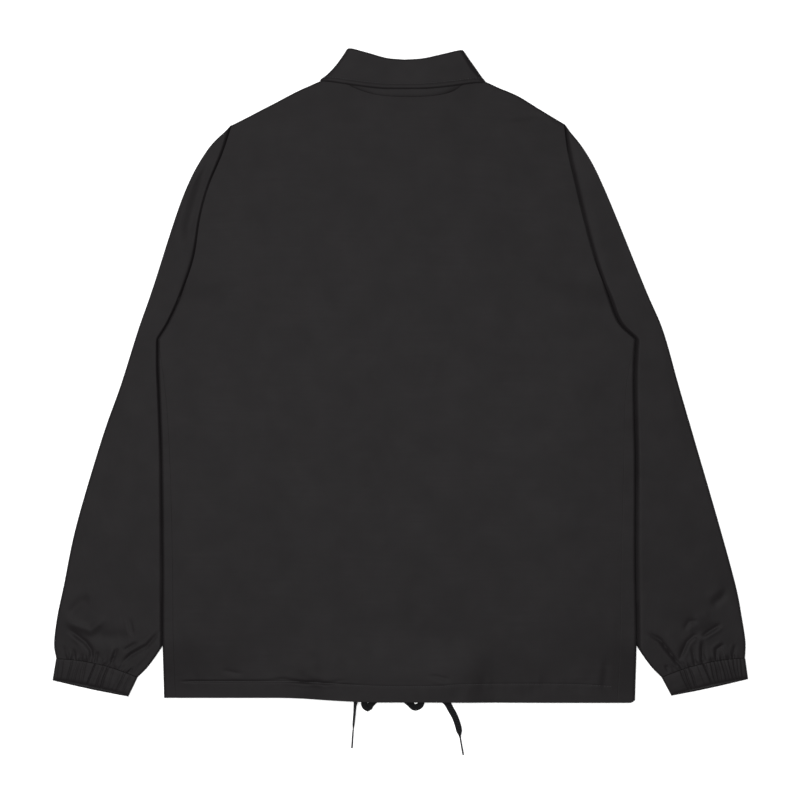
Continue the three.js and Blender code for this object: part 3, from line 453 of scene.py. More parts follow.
def pressed_metal(name, colour, roughness, mark_size):
    """Pressed and plated brass or steel, with fine marks from the tool that closed it."""
    material, tree, surface = new_material(name, {"Base Color": linear(colour), "Metallic": 1})
    marks = grain(tree, mark_size, 3)
    wear = add(tree, "MapRange", {"Value": marks, "From Min": 0.35, "From Max": 0.65,
                                  "To Min": roughness - 0.08, "To Max": roughness + 0.1})
    tree.links.new(wear.outputs["Result"], surface.inputs["Roughness"])
    emboss(tree, surface, marks, 0.15, 0.0001)
    return material


def enamelled_cap(name, colour):
    """Snap caps: brass under baked enamel, smooth and hard, with a soft gloss."""
    material, tree, surface = new_material(name, {
        "Base Color": linear(colour), "Roughness": 0.32, "Coat Weight": 0.3})
    emboss(tree, surface, grain(tree, 1.2, 2), 0.08, 0.0001)
    return material


def white_paper(name):
    """White paper background, matt, and lit from below too, so that no shadow shows on it."""
    material, tree, surface = new_material(name, {
        "Base Color": linear("#f8f8f8"), "Roughness": 0.95,
        "Emission Color": linear("#ffffff"), "Emission Strength": 0.35})
    emboss(tree, surface, grain(tree, 3, 2), 0.02, 0.0005)
    return material


NYLON = nylon_taffeta("nylon taffeta, charcoal black", "#161415", "#1d1b1c")
BRAID = flat_braid("flat braided lace, black", "#0b0b0c", "#1b1b1d")
THREAD = spun_thread("polyester thread, black", "#1c1c1d")
STEEL = pressed_metal("aglet steel, brushed", "#2b2b2d", 0.5, 0.8)
GUNMETAL = pressed_metal("eyelet brass, gunmetal plated", "#5a5a5c", 0.34, 1)
ENAMEL = enamelled_cap("snap cap, black enamel", "#19191a")


# Camera, straight above the jacket: 960 mm of the table across the picture

VIEW_WIDTH, LENS, SENSOR = 960, 135, 36
camera = linked("camera", bpy.data.cameras.new("camera"))
camera.data.lens, camera.data.sensor_width = LENS, SENSOR
camera.data.clip_end = 50
camera.location = place((0, -28.8, VIEW_WIDTH * LENS / SENSOR))
bpy.context.scene.camera = camera


# Lace: flat, turned on edge where it leaves the hem, with a metal tip on its free end

LACE_SIDES, LACE_STEPS = 20, 150
TAPER_FROM, TAPER = 0.965, 0.72  # it narrows into its tip over the last part of its length


def rounded(value, power):
    """A sine or cosine raised to a power below 1, which makes an oval's flanks fuller."""
    return math.copysign(abs(value) ** power, value)


def lace_ring(route, twists, angle, part):
    """Point on the lace's flat oval section."""
    tangent = route.tangent(part)
    twist = math.radians(read(twists, "row", "twist", route.row_at(part)))
    across = Matrix.Rotation(twist, 3, tangent) @ Vector((0, 0, 1)).cross(tangent).normalized()
    width = LACE_WIDTH * (1 - TAPER * smooth(TAPER_FROM, 1, part))
    return (route.at(part) + across * rounded(math.cos(angle), 0.45) * width / 2
            + tangent.cross(across) * rounded(math.sin(angle), 0.7) * LACE_THICK / 2)


def close_ends(bm):
    """Closes the open ends of a tube."""
    bmesh.ops.holes_fill(bm, edges=[edge for edge in bm.edges if edge.is_boundary], sides=0)
    bmesh.ops.recalc_face_normals(bm, faces=bm.faces)


def spun(name, profile, segments, material, axis_to=None, at=(0, 0, 0)):
    """Profile of (radius, height) pairs in millimetres, spun about Z, turned to an axis and placed."""
    bm = bmesh.new()
    verts = [bm.verts.new((radius * MM, 0, height * MM)) for radius, height in profile]
    edges = [bm.edges.new(pair) for pair in zip(verts, verts[1:])]
    bmesh.ops.spin(bm, geom=verts + edges, cent=(0, 0, 0), axis=(0, 0, 1), angle=math.tau,
                   steps=segments, use_merge=True)
    bmesh.ops.remove_doubles(bm, verts=bm.verts, dist=1e-6)
    close_ends(bm)
    if axis_to:
        turn = Vector((0, 0, 1)).rotation_difference(axis_to).to_matrix()
        bmesh.ops.rotate(bm, cent=(0, 0, 0), matrix=turn, verts=bm.verts)
    bmesh.ops.translate(bm, vec=place(at), verts=bm.verts)
    return finished(name, bm, material)


AGLET_PROFILE = [(0, -11), (0.7, -11), (0.98, -10.6), (1.06, -9.8), (1, 8.4), (0.86, 8.7), (0.86, 9.1),
                 (1, 9.5), (1, 10.4), (0.9, 11), (0, 11)]


def lace(side):
    rows = LACES[side]
    route, twists = Route([row[:3] for row in rows]), table("x y z twist", *rows)
    angles = [math.tau * k / LACE_SIDES for k in range(LACE_SIDES + 1)]
    parts = [k / LACE_STEPS for k in range(LACE_STEPS + 1)]
    piece = grid_piece(f"lace_{side}_braid", angles, parts, partial(lace_ring, route, twists),
                       closed=True)
    bm = bmesh.new()
    bm.from_mesh(piece.data)
    close_ends(bm)
    bm.to_mesh(piece.data)
    bm.free()
    piece.data.materials.append(BRAID)
    before, last = (Vector(row[:3]) for row in rows[-2:])
    way = last - before
    way.z = 0
    way.normalize()
    middle = last + way * (AGLET_LENGTH / 2 - AGLET_OVERLAP)
    tip = spun(f"lace_{side}_tip", AGLET_PROFILE, 20, STEEL, -way, middle)
    stand_for(piece, f"lace_{side}")
    stand_for(tip, f"aglet_{side}")
    [place(route.at(part)) for part in parts]


lace("left")
lace("right")


# Body: levels of back and fronts over the sleeves, the bow and the collar's points

def edge_x(side, y):
    """The body's edge: the side below the armpit, the armhole seam above it."""
    return read(SIDES if y < ARMPIT_Y else ARMHOLES, "y", side, y)


def seam_inset(side, y):
    return read(SIDES, "y", "seam_" + side, y) if y < ARMPIT_Y else 0


def set_in(y):
    """1 where the sleeve is set between back and front, 0 where it lies under both."""
    return smooth(78, 118, y)


def sleeve_lift(x, y, fade=32):
    """The sleeve's lift of the body that lies over its tuck, faded out inward."""
    side = "left" if x < 0 else "right"
    inward = abs(edge_x(side, y)) - abs(x) - read(TUCK, "y", side, y)
    return SLEEVE_LIFT * (1 - set_in(y)) * smooth(-380, -312, y) * (1 - smooth(9, fade, inward))


def bow_lift(x, y):
    across = 1 - smooth(BOW_HALF, BOW_HALF + BOW_FADE_X, abs(x - BOW_X))
    return BOW_LIFT * across * (1 - smooth(BOW_TOP, BOW_TOP + BOW_FADE_Y, y))


def collar_lift(x, y):
    return COLLAR_LIFT * (1 - smooth(124, 150, abs(x - 5))) * smooth(212, 238, y)


def front_under(x, y):
    placket = PLACKET_LIFT * (1 - smooth(PLACKET_RIGHT + 2, PLACKET_SIDE, abs(x - SNAP_TOP[0])))
    return max(placket, collar_lift(x, y), bow_lift(x, y)) + sleeve_lift(x, y)


def back_top(x, y):
    edge = abs(edge_x("left" if x < 0 else "right", y)) - abs(x)
    level = mix(2 * ROLL + SEAM_GAP, BODY_HEIGHT, smooth(6, 60, edge))
    return mix(level, BODY_HEIGHT, set_in(y)) + sleeve_lift(x, y, 120) + bow_lift(x, y) * 0.95


def side_point(side, y, s):
    """A point on the rolled side at a distance s from the outermost line, below it if s is negative."""
    quarter = ROLL * math.pi / 2
    sign = SIGN[side]
    edge = abs(edge_x(side, y))
    past = max(abs(s) - quarter, 0)
    flat_x = edge - ROLL - past
    low, high = front_under(sign * flat_x, y), back_top(sign * flat_x, y)
    middle, half = (low + high) / 2, (high - low) / 2
    face = -1 if s < 0 else 1
    if past > 0:
        return Vector((sign * flat_x, y, middle + face * half))
    opened = set_in(y)
    rolled_x, rolled_z = edge - ROLL + ROLL * math.cos(s / ROLL), middle + half * math.sin(s / ROLL)
    open_x, open_z = edge - ROLL * abs(s) / quarter, middle + face * half
    return Vector((sign * mix(rolled_x, open_x, opened), y, mix(rolled_z, open_z, opened)))


def seam_distance(side, y):
    inset, quarter = seam_inset(side, y), ROLL * math.pi / 2
    return quarter * inset / ROLL if inset < ROLL else quarter + inset - ROLL


def stretched(u, t, bottom, top, start, end):
    """Point on a flat piece stretched between four edges."""
    across = start(t).lerp(end(t), u)
    up = bottom(u).lerp(top(u), t)
    corners = bottom(0).lerp(bottom(1), u).lerp(top(0).lerp(top(1), u), t)
    return across + up - corners


SHOULDER_Y = ARMHOLES["y"][-1]
TOP_INSET = BODY_HEIGHT / 2 - 2 * SEAM_GAP


def row_height(part):
    """Height on a side edge: 0 at the hem, 1 at the armpit, 2 at the shoulder point."""
    return mix(HEM_Y, ARMPIT_Y, part) if part <= 1 else mix(ARMPIT_Y, SHOULDER_Y - 2, part - 1)


def whole_part(part):
    """The same height as a part of the way from the hem to the shoulder point."""
    return (row_height(part) - HEM_Y) / (row_height(2) - HEM_Y)


def hem_line(x):
    """The lower edge: higher on the left, lower on the right, and rounded at its right corner."""
    left, right, corner = 1 - smooth(-150, -20, x), smooth(0, 200, x), smooth(274, 283, x)
    return HEM_Y + 5.2 * left - 0.8 * right + 3.6 * corner ** 2


def curl_shoulder(point, degrees, direction):
    """The shoulders roll over to the other side; the neck edge stays flat."""
    weight = smooth(NECK_HALF, NECK_HALF + 8, abs(point.x - NECK_X))
    angle = math.radians(degrees)
    depth = TOP_INSET - collar_lift(point.x, point.y) / 2
    point.y += TOP_INSET * mix(degrees / 90, math.sin(angle), weight)
    point.z += direction * weight * depth * (1 - math.cos(angle))
    return point


def shoulder_y(x):
    """Height of the shoulder's top edge inside its roll."""
    return read(BACK_TOP, "x", "y", x) - TOP_INSET


def slope_top(point, whole):
    """Brings a side edge's top on to the sloping shoulder."""
    point.y += (shoulder_y(point.x) - row_height(2)) * smooth(0.85, 1, whole)
    return point


def hem_drop(point, part):
    """Moves a point of the body with the hem line; the drop fades out up the body."""
    point.y += (hem_line(point.x) - HEM_Y) * (1 - smooth(0, 0.25, whole_part(part)))
    return point


def side_edge(side, y, s, part):
    """A point on the rolled side after the hem's drop, at the height that the body has there."""
    point = hem_drop(side_point(side, y, s), part)
    point.z = side_point(side, point.y, s).z if part < 1 else point.z
    return point


HEM_PART, HEM_ROWS = 0.08, 32  # the rows lie closer together over the hem's stitches


def body_rows(below, above, curls):
    """Rows of a body piece as (part of the height, degrees of the shoulder's roll)."""
    hem = [(HEM_PART * k / HEM_ROWS, 0) for k in range(HEM_ROWS)]
    rest = [(mix(HEM_PART, 1, k / (below - HEM_ROWS)), 0) for k in range(below - HEM_ROWS)]
    return (hem + rest + [(1 + k / above, 0) for k in range(above + 1)]
            + [(2, 90 * (k + 1) / curls) for k in range(curls)])


# Creases, each a trough with a lower ridge beside it: the points it runs through, width and height
BACK_CREASES = [
    ([(124, 306.4), (148, 311), (176, 312)], 4.5, -0.55), ([(176, 307), (192, 301)], 5, 0.5),
    ([(-32.4, 333), (-32.4, 313)], 3, -0.35), ([(-214, -352), (-188.4, -357.6)], 6, -0.55),
    ([(33.6, -357.6), (62, -364)], 6, -0.8),
    ([(-170, -365), (-139.2, -363.1), (-112.8, -367.2), (-97.2, -365.5), (-91.2, -368.2), (-58, -363)],
     4, -0.8),
    ([(-103.2, -330), (-103.2, -360)], 16, -0.7), ([(270, -285), (268, -330), (266, -380)], 11, -1.1),
    ([(249, -335), (246, -380)], 9, -0.8),
]
SLEEVE_CREASES = {
    "left": [
        ([(-226.8, 262), (-244, 210), (-252, 177.6), (-253.2, 145)], 15, -2),
        ([(-398, -303), (-376.8, -318.7), (-370.3, -327.6), (-367.2, -345)], 5, -1.7),
        ([(-362.6, -329), (-364.9, -345)], 3.5, -1.2), ([(-338.6, -325), (-346.8, -348)], 4, -1.4),
        ([(-314, -319), (-332, -330)], 4.5, -1),
        ([(-284, -303), (-302.9, -323.4), (-321.6, -333.6), (-336, -347)], 4.5, -1.9),
        ([(-282, -313), (-300, -336), (-320, -359)], 4.5, -1.7),
        ([(-324.4, -289), (-319.8, -312)], 6, -1), ([(-371, -263), (-402, -288)], 12, -0.8),
        ([(-405.6, -292.8), (-370.8, -304.8), (-349.2, -286.8)], 9, 1.1),
        ([(-372, -312), (-346, -314), (-322, -311)], 15, -0.7), ([(-392, -326), (-388, -345)], 4, -1.1),
        ([(-404, -322), (-401, -340)], 4, -0.9),
    ],
    "right": [
        ([(296, -307), (312, -316.8), (325.7, -334.8), (340, -353)], 4.5, -2),
        ([(333.5, -343), (344, -318.7), (352.8, -310.8), (362.4, -314.4)], 4.5, -1.7),
        ([(360, -313), (368, -308), (386, -296.5)], 4.5, -1.9),
        ([(363.6, -314), (362.4, -325.2), (362.4, -351)], 4.5, -1.5),
        ([(389.5, -320), (379.2, -327.6), (379.2, -342)], 4.5, -1.3),
        ([(339.6, -305), (346.8, -294), (358, -294)], 6, -1), ([(402, -320), (399, -340)], 4, -1),
        ([(318, -346), (322, -356)], 3.5, -0.9), ([(396, -256), (372, -277)], 10, -1),
        ([(350, -324), (354, -348)], 4, -1.1),
    ],
}
# The wide forms of the sleeves over the cuffs, as the solids have them
SLEEVE_FOLDS = {
    "left": [
        ([(-398, -300), (-370, -330)], 9, -1.6), ([(-392, -312), (-374, -338)], 7, 1.4),
        ([(-286, -303), (-334, -344)], 9, -1.8), ([(-284, -318), (-318, -356)], 7, -1.4),
        ([(-345, -318), (-350, -344)], 8, 1.6), ([(-372, -262), (-403, -288)], 14, -1.2),
        ([(-324, -288), (-318, -312)], 10, 1.3), ([(-370, -310), (-326, -312)], 14, -1),
    ],
    "right": [
        ([(297, -308), (327, -338)], 9, -1.8), ([(318, -304), (338, -330)], 9, 1.4),
        ([(336, -342), (346, -316)], 8, -1.6), ([(346, -312), (384, -296)], 9, -1.8),
        ([(363, -318), (362, -346)], 8, -1.5), ([(388, -320), (379, -342)], 8, -1.3),
        ([(352, -290), (372, -286)], 12, 1.3), ([(382, -262), (400, -282)], 13, -1.1),
    ],
}
HEM_STITCH = table(
    "x y",
    (-282, -366), (-172.8, -366), (-120, -366.5), (-24, -371.4), (44.4, -371.4), (72, -369.6),
    (207.6, -369.6), (260.4, -372.6), (279.6, -374.4),
)


def crease_height(creases, x, y, ridge=0.3):
    """Height at a point of all the creases near it."""
    height = 0.0
    for points, width, depth in creases:
        reach = 3 * width
        xs, ys = zip(*points)
        if not (min(xs) - reach < x < max(xs) + reach and min(ys) - reach < y < max(ys) + reach):
            continue
        lengths = [math.dist(a, b) for a, b in zip(points, points[1:])]
        total, done, nearest = sum(lengths), 0.0, None
        for (a, b), length in zip(zip(points, points[1:]), lengths):
            dx, dy = (b[0] - a[0]) / length, (b[1] - a[1]) / length
            along = (x - a[0]) * dx + (y - a[1]) * dy
            off = (x - a[0]) * dy - (y - a[1]) * dx
            inside = min(max(along, 0), length)
            distance = math.hypot(off, along - inside)
            if nearest is None or distance < nearest[0]:
                nearest = (distance, math.copysign(distance, off), (done + inside) / total)
            done += length
        distance, signed, part = nearest
        half = width * 0.5
        fade = smooth(-0.02, 0.3, part) * (1 - smooth(0.7, 1.02, part))
        t = signed / half
        trough = math.exp(-t * t) if width > 7 else math.exp(-1.3 * abs(t) ** 1.15)
        height += depth * fade * (trough - ridge * math.exp(-(t - 1.9) ** 2))
    return height


def crumple(x, y, seed):
    """Soft unevenness of cloth that has been worn and smoothed out by hand."""
    return 0.32 * uneven(x / 62, y / 84, seed) + 0.1 * uneven(x / 19, y / 27, seed)


def hem_relief(x, y):
    """The stitched channel of the hem: a groove at the stitches, deeper on the left, and uneven
    puckers on both sides."""
    above = y - read(HEM_STITCH, "x", "y", x)
    groove = (1 - 0.75 * smooth(-90, -40, x)) * bell(above, 1.1)
    puckers = 0.4 * uneven(x / 6.5, y / 26, 4.2) + 0.3 * uneven(x / 15, y / 40, 1.7)
    return puckers * bell(above, 9) - groove


def back_relief(x, y):
    calm = 1 - smooth(300, 330, y)
    return crease_height(BACK_CREASES, x, y) + crumple(x, y, 0.5) * calm + hem_relief(x, y)


BACK_REACH = 4
SIDE_SEAM = 0.03  # half the gap that shows as the side seam


def back_columns(edge, middle):
    return ([("left", k / edge) for k in range(edge)] + [("flat", k / middle) for k in range(middle + 1)]
            + [("right", (edge - 1 - k) / edge) for k in range(edge)])


def back_reach(side, y):
    """Distance past the outermost line at which the back's flat part begins."""
    return ROLL * math.pi / 2 + max(seam_inset(side, y) - ROLL, 0) + BACK_REACH


@cache
def back_side(side, t):
    """Edge of the back's flat part, at a part of its whole height."""
    at = mix(HEM_Y, row_height(2), t)
    return slope_top(Vector((side_point(side, at, back_reach(side, at)).x, at, 0)), t).freeze()


@cache
def front_side(side, t):
    """Outer edge of a front's flat part, at a part of its whole height."""
    at = mix(HEM_Y, row_height(2), t)
    return slope_top(Vector((SIGN[side] * (abs(edge_x(side, at)) - ROLL), at, 0)), t).freeze()


def back_point(column, row):
    (part, curl), (zone, value) = row, column
    y = row_height(part)

    if zone != "flat":
        seam = seam_distance(zone, y) + SIDE_SEAM
        point = side_edge(zone, y, mix(seam, back_reach(zone, y), value ** 1.5), part)
        return curl_shoulder(slope_top(point, whole_part(part)), curl, -1)
    left, right = (partial(back_side, side) for side in ("left", "right"))

    def bottom(f):
        return Vector((mix(left(0).x, right(0).x, f), HEM_Y, 0))

    def crown(f):
        x = mix(left(1).x, right(1).x, f)
        return Vector((x, shoulder_y(x), 0))

    point = hem_drop(stretched(value, whole_part(part), bottom, crown, left, right), part)
    inside = min(value, 1 - value)
    point.z = back_top(point.x, point.y) + back_relief(point.x, point.y) * smooth(0, 0.03, inside)
    return curl_shoulder(point, curl, -1)


FRONT_ROUTES = {side: Route([(*point, 0) for point in rows]) for side, rows in FRONT_TOP.items()}


def front_point(side, column, row):
    (part, curl), (zone, value) = row, column
    y = row_height(part)
    if zone == "edge":
        s = mix(-ROLL * math.pi / 2, seam_distance(side, y) - SIDE_SEAM, value)
        return curl_shoulder(slope_top(side_edge(side, y, s, part), whole_part(part)), curl, 1)
    centre, neck_y = FRONT_TOP[side][0]
    end = partial(front_side, side)

    def start(t):
        return Vector((centre, mix(HEM_Y, neck_y - TOP_INSET, t), 0))

    def bottom(f):
        return Vector((mix(centre, end(0).x, f), HEM_Y, 0))

    def crown(f):
        point = FRONT_ROUTES[side].at(f * 0.988)
        if abs(point.x - NECK_X) > NECK_HALF:
            point.y = read(BACK_TOP, "x", "y", point.x)
        point.y -= TOP_INSET
        return point

    point = hem_drop(stretched(value, whole_part(part), bottom, crown, start, end), part)
    point.z = front_under(point.x, point.y)
    if side == "right":
        point.z += LAP_LIFT * (1 - smooth(PLACKET_RIGHT + 9, PLACKET_SIDE + 12, point.x))
    above = point.y - read(HEM_STITCH, "x", "y", point.x)
    point.z += 0.3 * bell(above, 1.6) * smooth(0, 0.05, value)
    return curl_shoulder(point, curl, 1)


back = cloth_piece("back_cloth", back_columns(8, 170), body_rows(130, 76, 6), back_point, CLOTH)
front_columns = [("flat", k / 72) for k in range(72)] + [("edge", k / 16) for k in range(17)]
fronts = {
    side: cloth_piece(f"front_{side}_cloth", front_columns, body_rows(96, 56, 6),
                      partial(front_point, side), CLOTH, flip=side == "right")
    for side in ("left", "right")
}


# Sleeves and cuffs: flattened tubes, gathered where they meet

NEST = 3  # the sleeve's reach under the back along the armhole
SLEEVE_LOW = 83  # its first row follows the armhole down to here
EDGE_ROLL = 2.6  # radius of a tube's folded edge
CUFF_WIDTH, CUFF_BOW, CUFF_SWELL = 95, 0.8, 0.7
JOIN_DEPTH, MOUTH_CURL = 1.1, 2.4
ARMHOLE_DIP, ARMHOLE_RISE, ARMHOLE_FLOOR = 2.6, 1.15, 1.3
RISE_OVER = {"left": 3.2, "right": 6}  # from the body's edge to the sleeve's full height
LEAST_HALF = 0.5  # half of a tube's least height
HAND_ROWS, CUFF_ROWS = (10.2, 10.95), (10.7, 11)  # where the cloth gathers towards the cuff
# Across each cuff from its outer fold: where a gather lies, and how deep it is
GATHERS = {
    "left": [(0.04, 0.3), (0.09, 0.4), (0.19, 0.6), (0.235, 0.3), (0.28, 0.5), (0.32, 0.4), (0.365, 0.5),
             (0.5, 0.3), (0.565, 0.7), (0.625, 0.9), (0.7, 0.4), (0.775, 0.3), (0.83, 0.6), (0.91, 0.4)],
    "right": [(0.06, 0.5), (0.1, 0.3), (0.138, 0.5), (0.19, 0.6), (0.235, 0.3), (0.276, 0.6), (0.32, 0.3),
              (0.36, 0.6), (0.405, 0.6), (0.45, 0.3), (0.55, 0.3), (0.66, 0.8), (0.72, 0.9), (0.76, 0.8)],
}
CUFF_JOIN = {"left": 0.47, "right": 0.49}  # where the band's ends are sewn together


def ring_stations(edge, top, bottom):
    """Round a flattened tube: part of the way across, degrees of the edge's roll, and which face."""
    roll = [90 * k / edge for k in range(edge)]
    over = ([(0, a, 1) for a in roll] + [(k / top, 90, 1) for k in range(top + 1)]
            + [(1, a, 1) for a in reversed(roll)])
    under = ([(1, a, -1) for a in roll[1:]] + [(1 - k / bottom, 90, -1) for k in range(bottom + 1)]
             + [(0, a, -1) for a in reversed(roll)])
    return over + under


def gather(side, c, face):
    """Depth, from 0 to 1, of the gathers across a cuff; those below lie between those above."""
    at = c if face > 0 else c + 0.03
    return max(strength * bell(at - middle, 0.011) for middle, strength in GATHERS[side])


def sleeve_ends(side, at):
    return [plan_at(SLEEVES[side], end, at) for end in ("outer", "inner")]


def sleeve_plan(side, part, c):
    """Plan position on a sleeve ring, c running from the outer fold to the inner one."""
    sign, rows, at = SIGN[side], SLEEVES[side], max(part, 0)
    outer, inner = (Vector(end) for end in sleeve_ends(side, at))
    point = outer.lerp(inner, c)
    hand = Vector((sign * (inner.y - outer.y), -sign * (inner.x - outer.x))).normalized()
    point -= hand * read(rows, "row", "bow", at) * 4 * c * (1 - c)
    seam_weight = max(1 - at, 0)
    if seam_weight > 0:
        seam_y = mix(rows["outer_y"][0], rows["inner_y"][0], c)
        chord_x = mix(rows["outer_x"][0], rows["inner_x"][0], c)
        point.x += seam_weight * (read(ARMHOLES, "y", side, max(seam_y, SLEEVE_LOW)) - chord_x)
    if part < 0.3:
        nested = smooth(84, 98, point.y) * (1 - smooth(298, 301, point.y))
        start = mix(0.5, -NEST, nested)
        point.x += sign * (mix(start, 1.2, part + 1) if part < 0 else 1.2 * (1 - part / 0.3))
    return point


def sleeve_point(side, station, part):
    across, roll, face = station
    angle = math.radians(roll)
    inset = EDGE_ROLL * (1 - math.cos(angle)) / math.dist(*sleeve_ends(side, max(part, 0)))
    c = mix(inset, 1 - inset, across)
    plan = sleeve_plan(side, part, c)
    outside = abs(plan.x) - abs(edge_x(side, plan.y))
    joined = set_in(plan.y) if plan.y > ARMPIT_Y else 0
    clear = mix(1, smooth(-0.3, RISE_OVER[side], outside), smooth(-352, -330, plan.y))
    low = ARMHOLE_FLOOR * joined * (1 - smooth(0.5, 4, outside))
    if side == "right":
        deeper = smooth(110, 150, plan.y) * (1 - smooth(262, 286, plan.y))
        dip, reach = ARMHOLE_DIP + 0.7 * deeper, 1.5 + 4 * deeper
    else:
        dip, reach = ARMHOLE_DIP, mix(1.2, 3.4, smooth(262, 205, plan.y))
    top = mix(UNDER_SLEEVE + ARMHOLE_RISE * joined, SLEEVE_PUFF, clear)
    top = max(top - dip * joined * math.exp(-max(outside, 0) / reach), low + 0.9)
    middle = (top + low) / 2
    hand = smooth(*HAND_ROWS, part)
    if face < 0:
        ripple = hand * gather(side, c, -1) * 0.5
        return Vector((*plan, middle - (middle - low - ripple) * math.sin(angle)))
    relief = 0.25 * crease_height(SLEEVE_FOLDS[side], plan.x, plan.y, 0)
    relief += crease_height(SLEEVE_CREASES[side], plan.x, plan.y) + crumple(plan.x, plan.y, 2.5)
    relief += 1.3 * hand * uneven(c * 44, part * 1.5, 7.3 + SIGN[side])
    relief -= 0.8 * smooth(*CUFF_ROWS, part) * gather(side, c, 1)
    relief *= smooth(0.04, 0.14, c) * (1 - smooth(0.86, 0.96, c)) * max(clear, joined)
    top = max(top + relief, middle + LEAST_HALF)
    return Vector((*plan, middle + (top - middle) * math.sin(angle)))


def cuff_point(side, station, part):
    across, roll, face = station
    angle = math.radians(roll)
    inset = EDGE_ROLL * (1 - math.cos(angle)) / CUFF_WIDTH
    c = mix(inset, 1 - inset, across)
    arch = math.sin(math.pi * c)
    outer, inner = (Vector(end) for end in sleeve_ends(side, SLEEVES[side]["row"][-1]))
    start = outer.lerp(inner, c)
    outer, inner = (Vector(corner) for corner in CUFF_HANDS[side])
    end = outer.lerp(inner, c)
    down = (end - start).normalized()
    start += down * (SLEEVES[side]["bow"][-1] * 4 * c * (1 - c) + SEAM_GAP)
    mouth = CUFF_MOUTH * math.sqrt(math.sin(angle)) * math.sqrt(arch) if face > 0 else 0
    end += down * (CUFF_BOW * arch - mouth)
    between = smooth(0, 0.1, part) * (1 - smooth(0.93, 1, part))
    depth = gather(side, c + 0.006 * math.sin(part * 4 + c * 20), face) * mix(0.6, 1, between)
    half = CUFF_HEIGHT / 2 - depth * 0.5
    if face > 0:
        join = bell(c + 0.03 * part - CUFF_JOIN[side], 0.008)
        swell = CUFF_SWELL * (math.sin(math.pi * part) ** 0.5 - 1)
        half += swell - 0.6 * depth - JOIN_DEPTH * join
        half += 0.25 * uneven(c * 9, part * 3, 5 * SIGN[side])
        half -= MOUTH_CURL * smooth(0.86, 1, part) ** 2 * arch ** 0.4
    return Vector((*start.lerp(end, part), CUFF_HEIGHT / 2 + face * half * math.sin(angle)))


# Rows of the sleeve: from -1 to 0 under the body's edge, then down its table, closer over the cuff
sleeve_rows = [-1, -0.66, -0.33, 0, 0.1, 0.2, 0.3] + [0.3 + 7.7 * k / 84 for k in range(1, 85)]
sleeve_rows += [8 + 3 * k / 56 for k in range(1, 57)]
cuff_rows = [k / 14 for k in range(15)]
sleeves, cuffs = {}, {}
for side in ("left", "right"):
    tube = {"closed": True, "flip": side == "left"}
    sleeves[side] = cloth_piece(f"sleeve_{side}_cloth", ring_stations(5, 84, 34), sleeve_rows,
                                partial(sleeve_point, side), SLEEVE_WALL, **tube)
    cuffs[side] = cloth_piece(f"cuff_{side}_band", ring_stations(6, 150, 70), cuff_rows,
                              partial(cuff_point, side), CUFF_WALL, **tube)


# Collar: a stand, and a fall that turns over it at the fold and lies down on it

COLLAR_HALF = 16  # stations from the centre back to an end
FALL_RISE, FALL_ARC = 2, 4  # columns of the fall inside the fold and round it
STAND_TUCK, STAND_DIP = 2.6, 1.6  # of the stand under the back's neck edge
COLLAR_STITCH = 6.7  # topstitching above the fall's edge
EDGE_LIFT, EDGE_TURN, LEFT_HOLLOW = 0.5, 1.3, 3.2


def collar_station(index):
    side = "left" if index < COLLAR_HALF else "right"
    rows = COLLAR[side]
    at = abs(index - COLLAR_HALF) / COLLAR_HALF * rows["row"][-1]
    turn = math.radians(min(max(read(rows, "row", "turn", at), -90), 90))
    lateral = Vector((SIGN[side] * math.cos(turn), 0.25 * math.cos(turn), 0)).normalized()
    outward = lateral * math.cos(turn) + Vector((0, 0, math.sin(turn)))
    lines = (Vector((*plan_at(rows, name, at), COLLAR_MIDDLE)) for name in ("seam", "fold", "edge"))
    return outward, *lines


def stand_point(part, index):
    outward, seam, fold, _ = collar_station(index)
    reach = fold - seam
    low = seam - reach.normalized() * STAND_TUCK
    top = fold - reach.normalized() * (CREST + 3)
    return low.lerp(top, part) + outward * (STAND_OUT - STAND_DIP * (1 - smooth(0, 0.22, part)))


def fall_point(column, index):
    """Column: up to 2 on the rise, up to 6 round the fold, then down to the edge at 7."""
    outward, seam, fold, edge = collar_station(index)
    up, down = (fold - seam).normalized(), edge - fold
    crest_out = mix(FALL_OUT, CREST_OUT, smooth(-0.2, 1, outward.z))
    radius = (crest_out - STAND_OUT + SINGLE_WALL) / 2
    if column < FALL_RISE:
        return (fold - up * mix(CREST + 2.1, CREST, column / FALL_RISE)
                + outward * (STAND_OUT - SINGLE_WALL))
    if column <= FALL_RISE + FALL_ARC:
        angle = (column - FALL_RISE) / FALL_ARC * math.pi
        toward = up.lerp(-down.normalized(), angle / math.pi).normalized()
        out = STAND_OUT - SINGLE_WALL + radius * (1 - math.cos(angle))
        return fold + toward * (CREST * math.sin(angle) - CREST) + outward * out
    part = column - FALL_RISE - FALL_ARC
    start = fold + down.normalized() * CREST
    from_edge = (1 - part) * (edge - start).length
    arch = math.sin(math.pi * part)
    relief = -0.15 * bell(from_edge - COLLAR_STITCH, 1.2)
    relief += EDGE_LIFT * smooth(9, 3, from_edge) - EDGE_TURN * max(1 - from_edge / 2.4, 0) ** 2
    if index < COLLAR_HALF:
        relief -= LEFT_HOLLOW * arch * max(1 - outward.z ** 2, 0)
    relief += 0.35 * arch * uneven(index * 1.1, part * 2.2, 9.1)
    relief += 0.25 * bell(from_edge - 6, 5) * uneven(index * 5, part * 1.5, 3.3)
    point = start.lerp(edge, part) + outward * (mix(crest_out, FALL_OUT, part ** 0.6) + relief)
    point.z = max(point.z, 0.05)
    return point


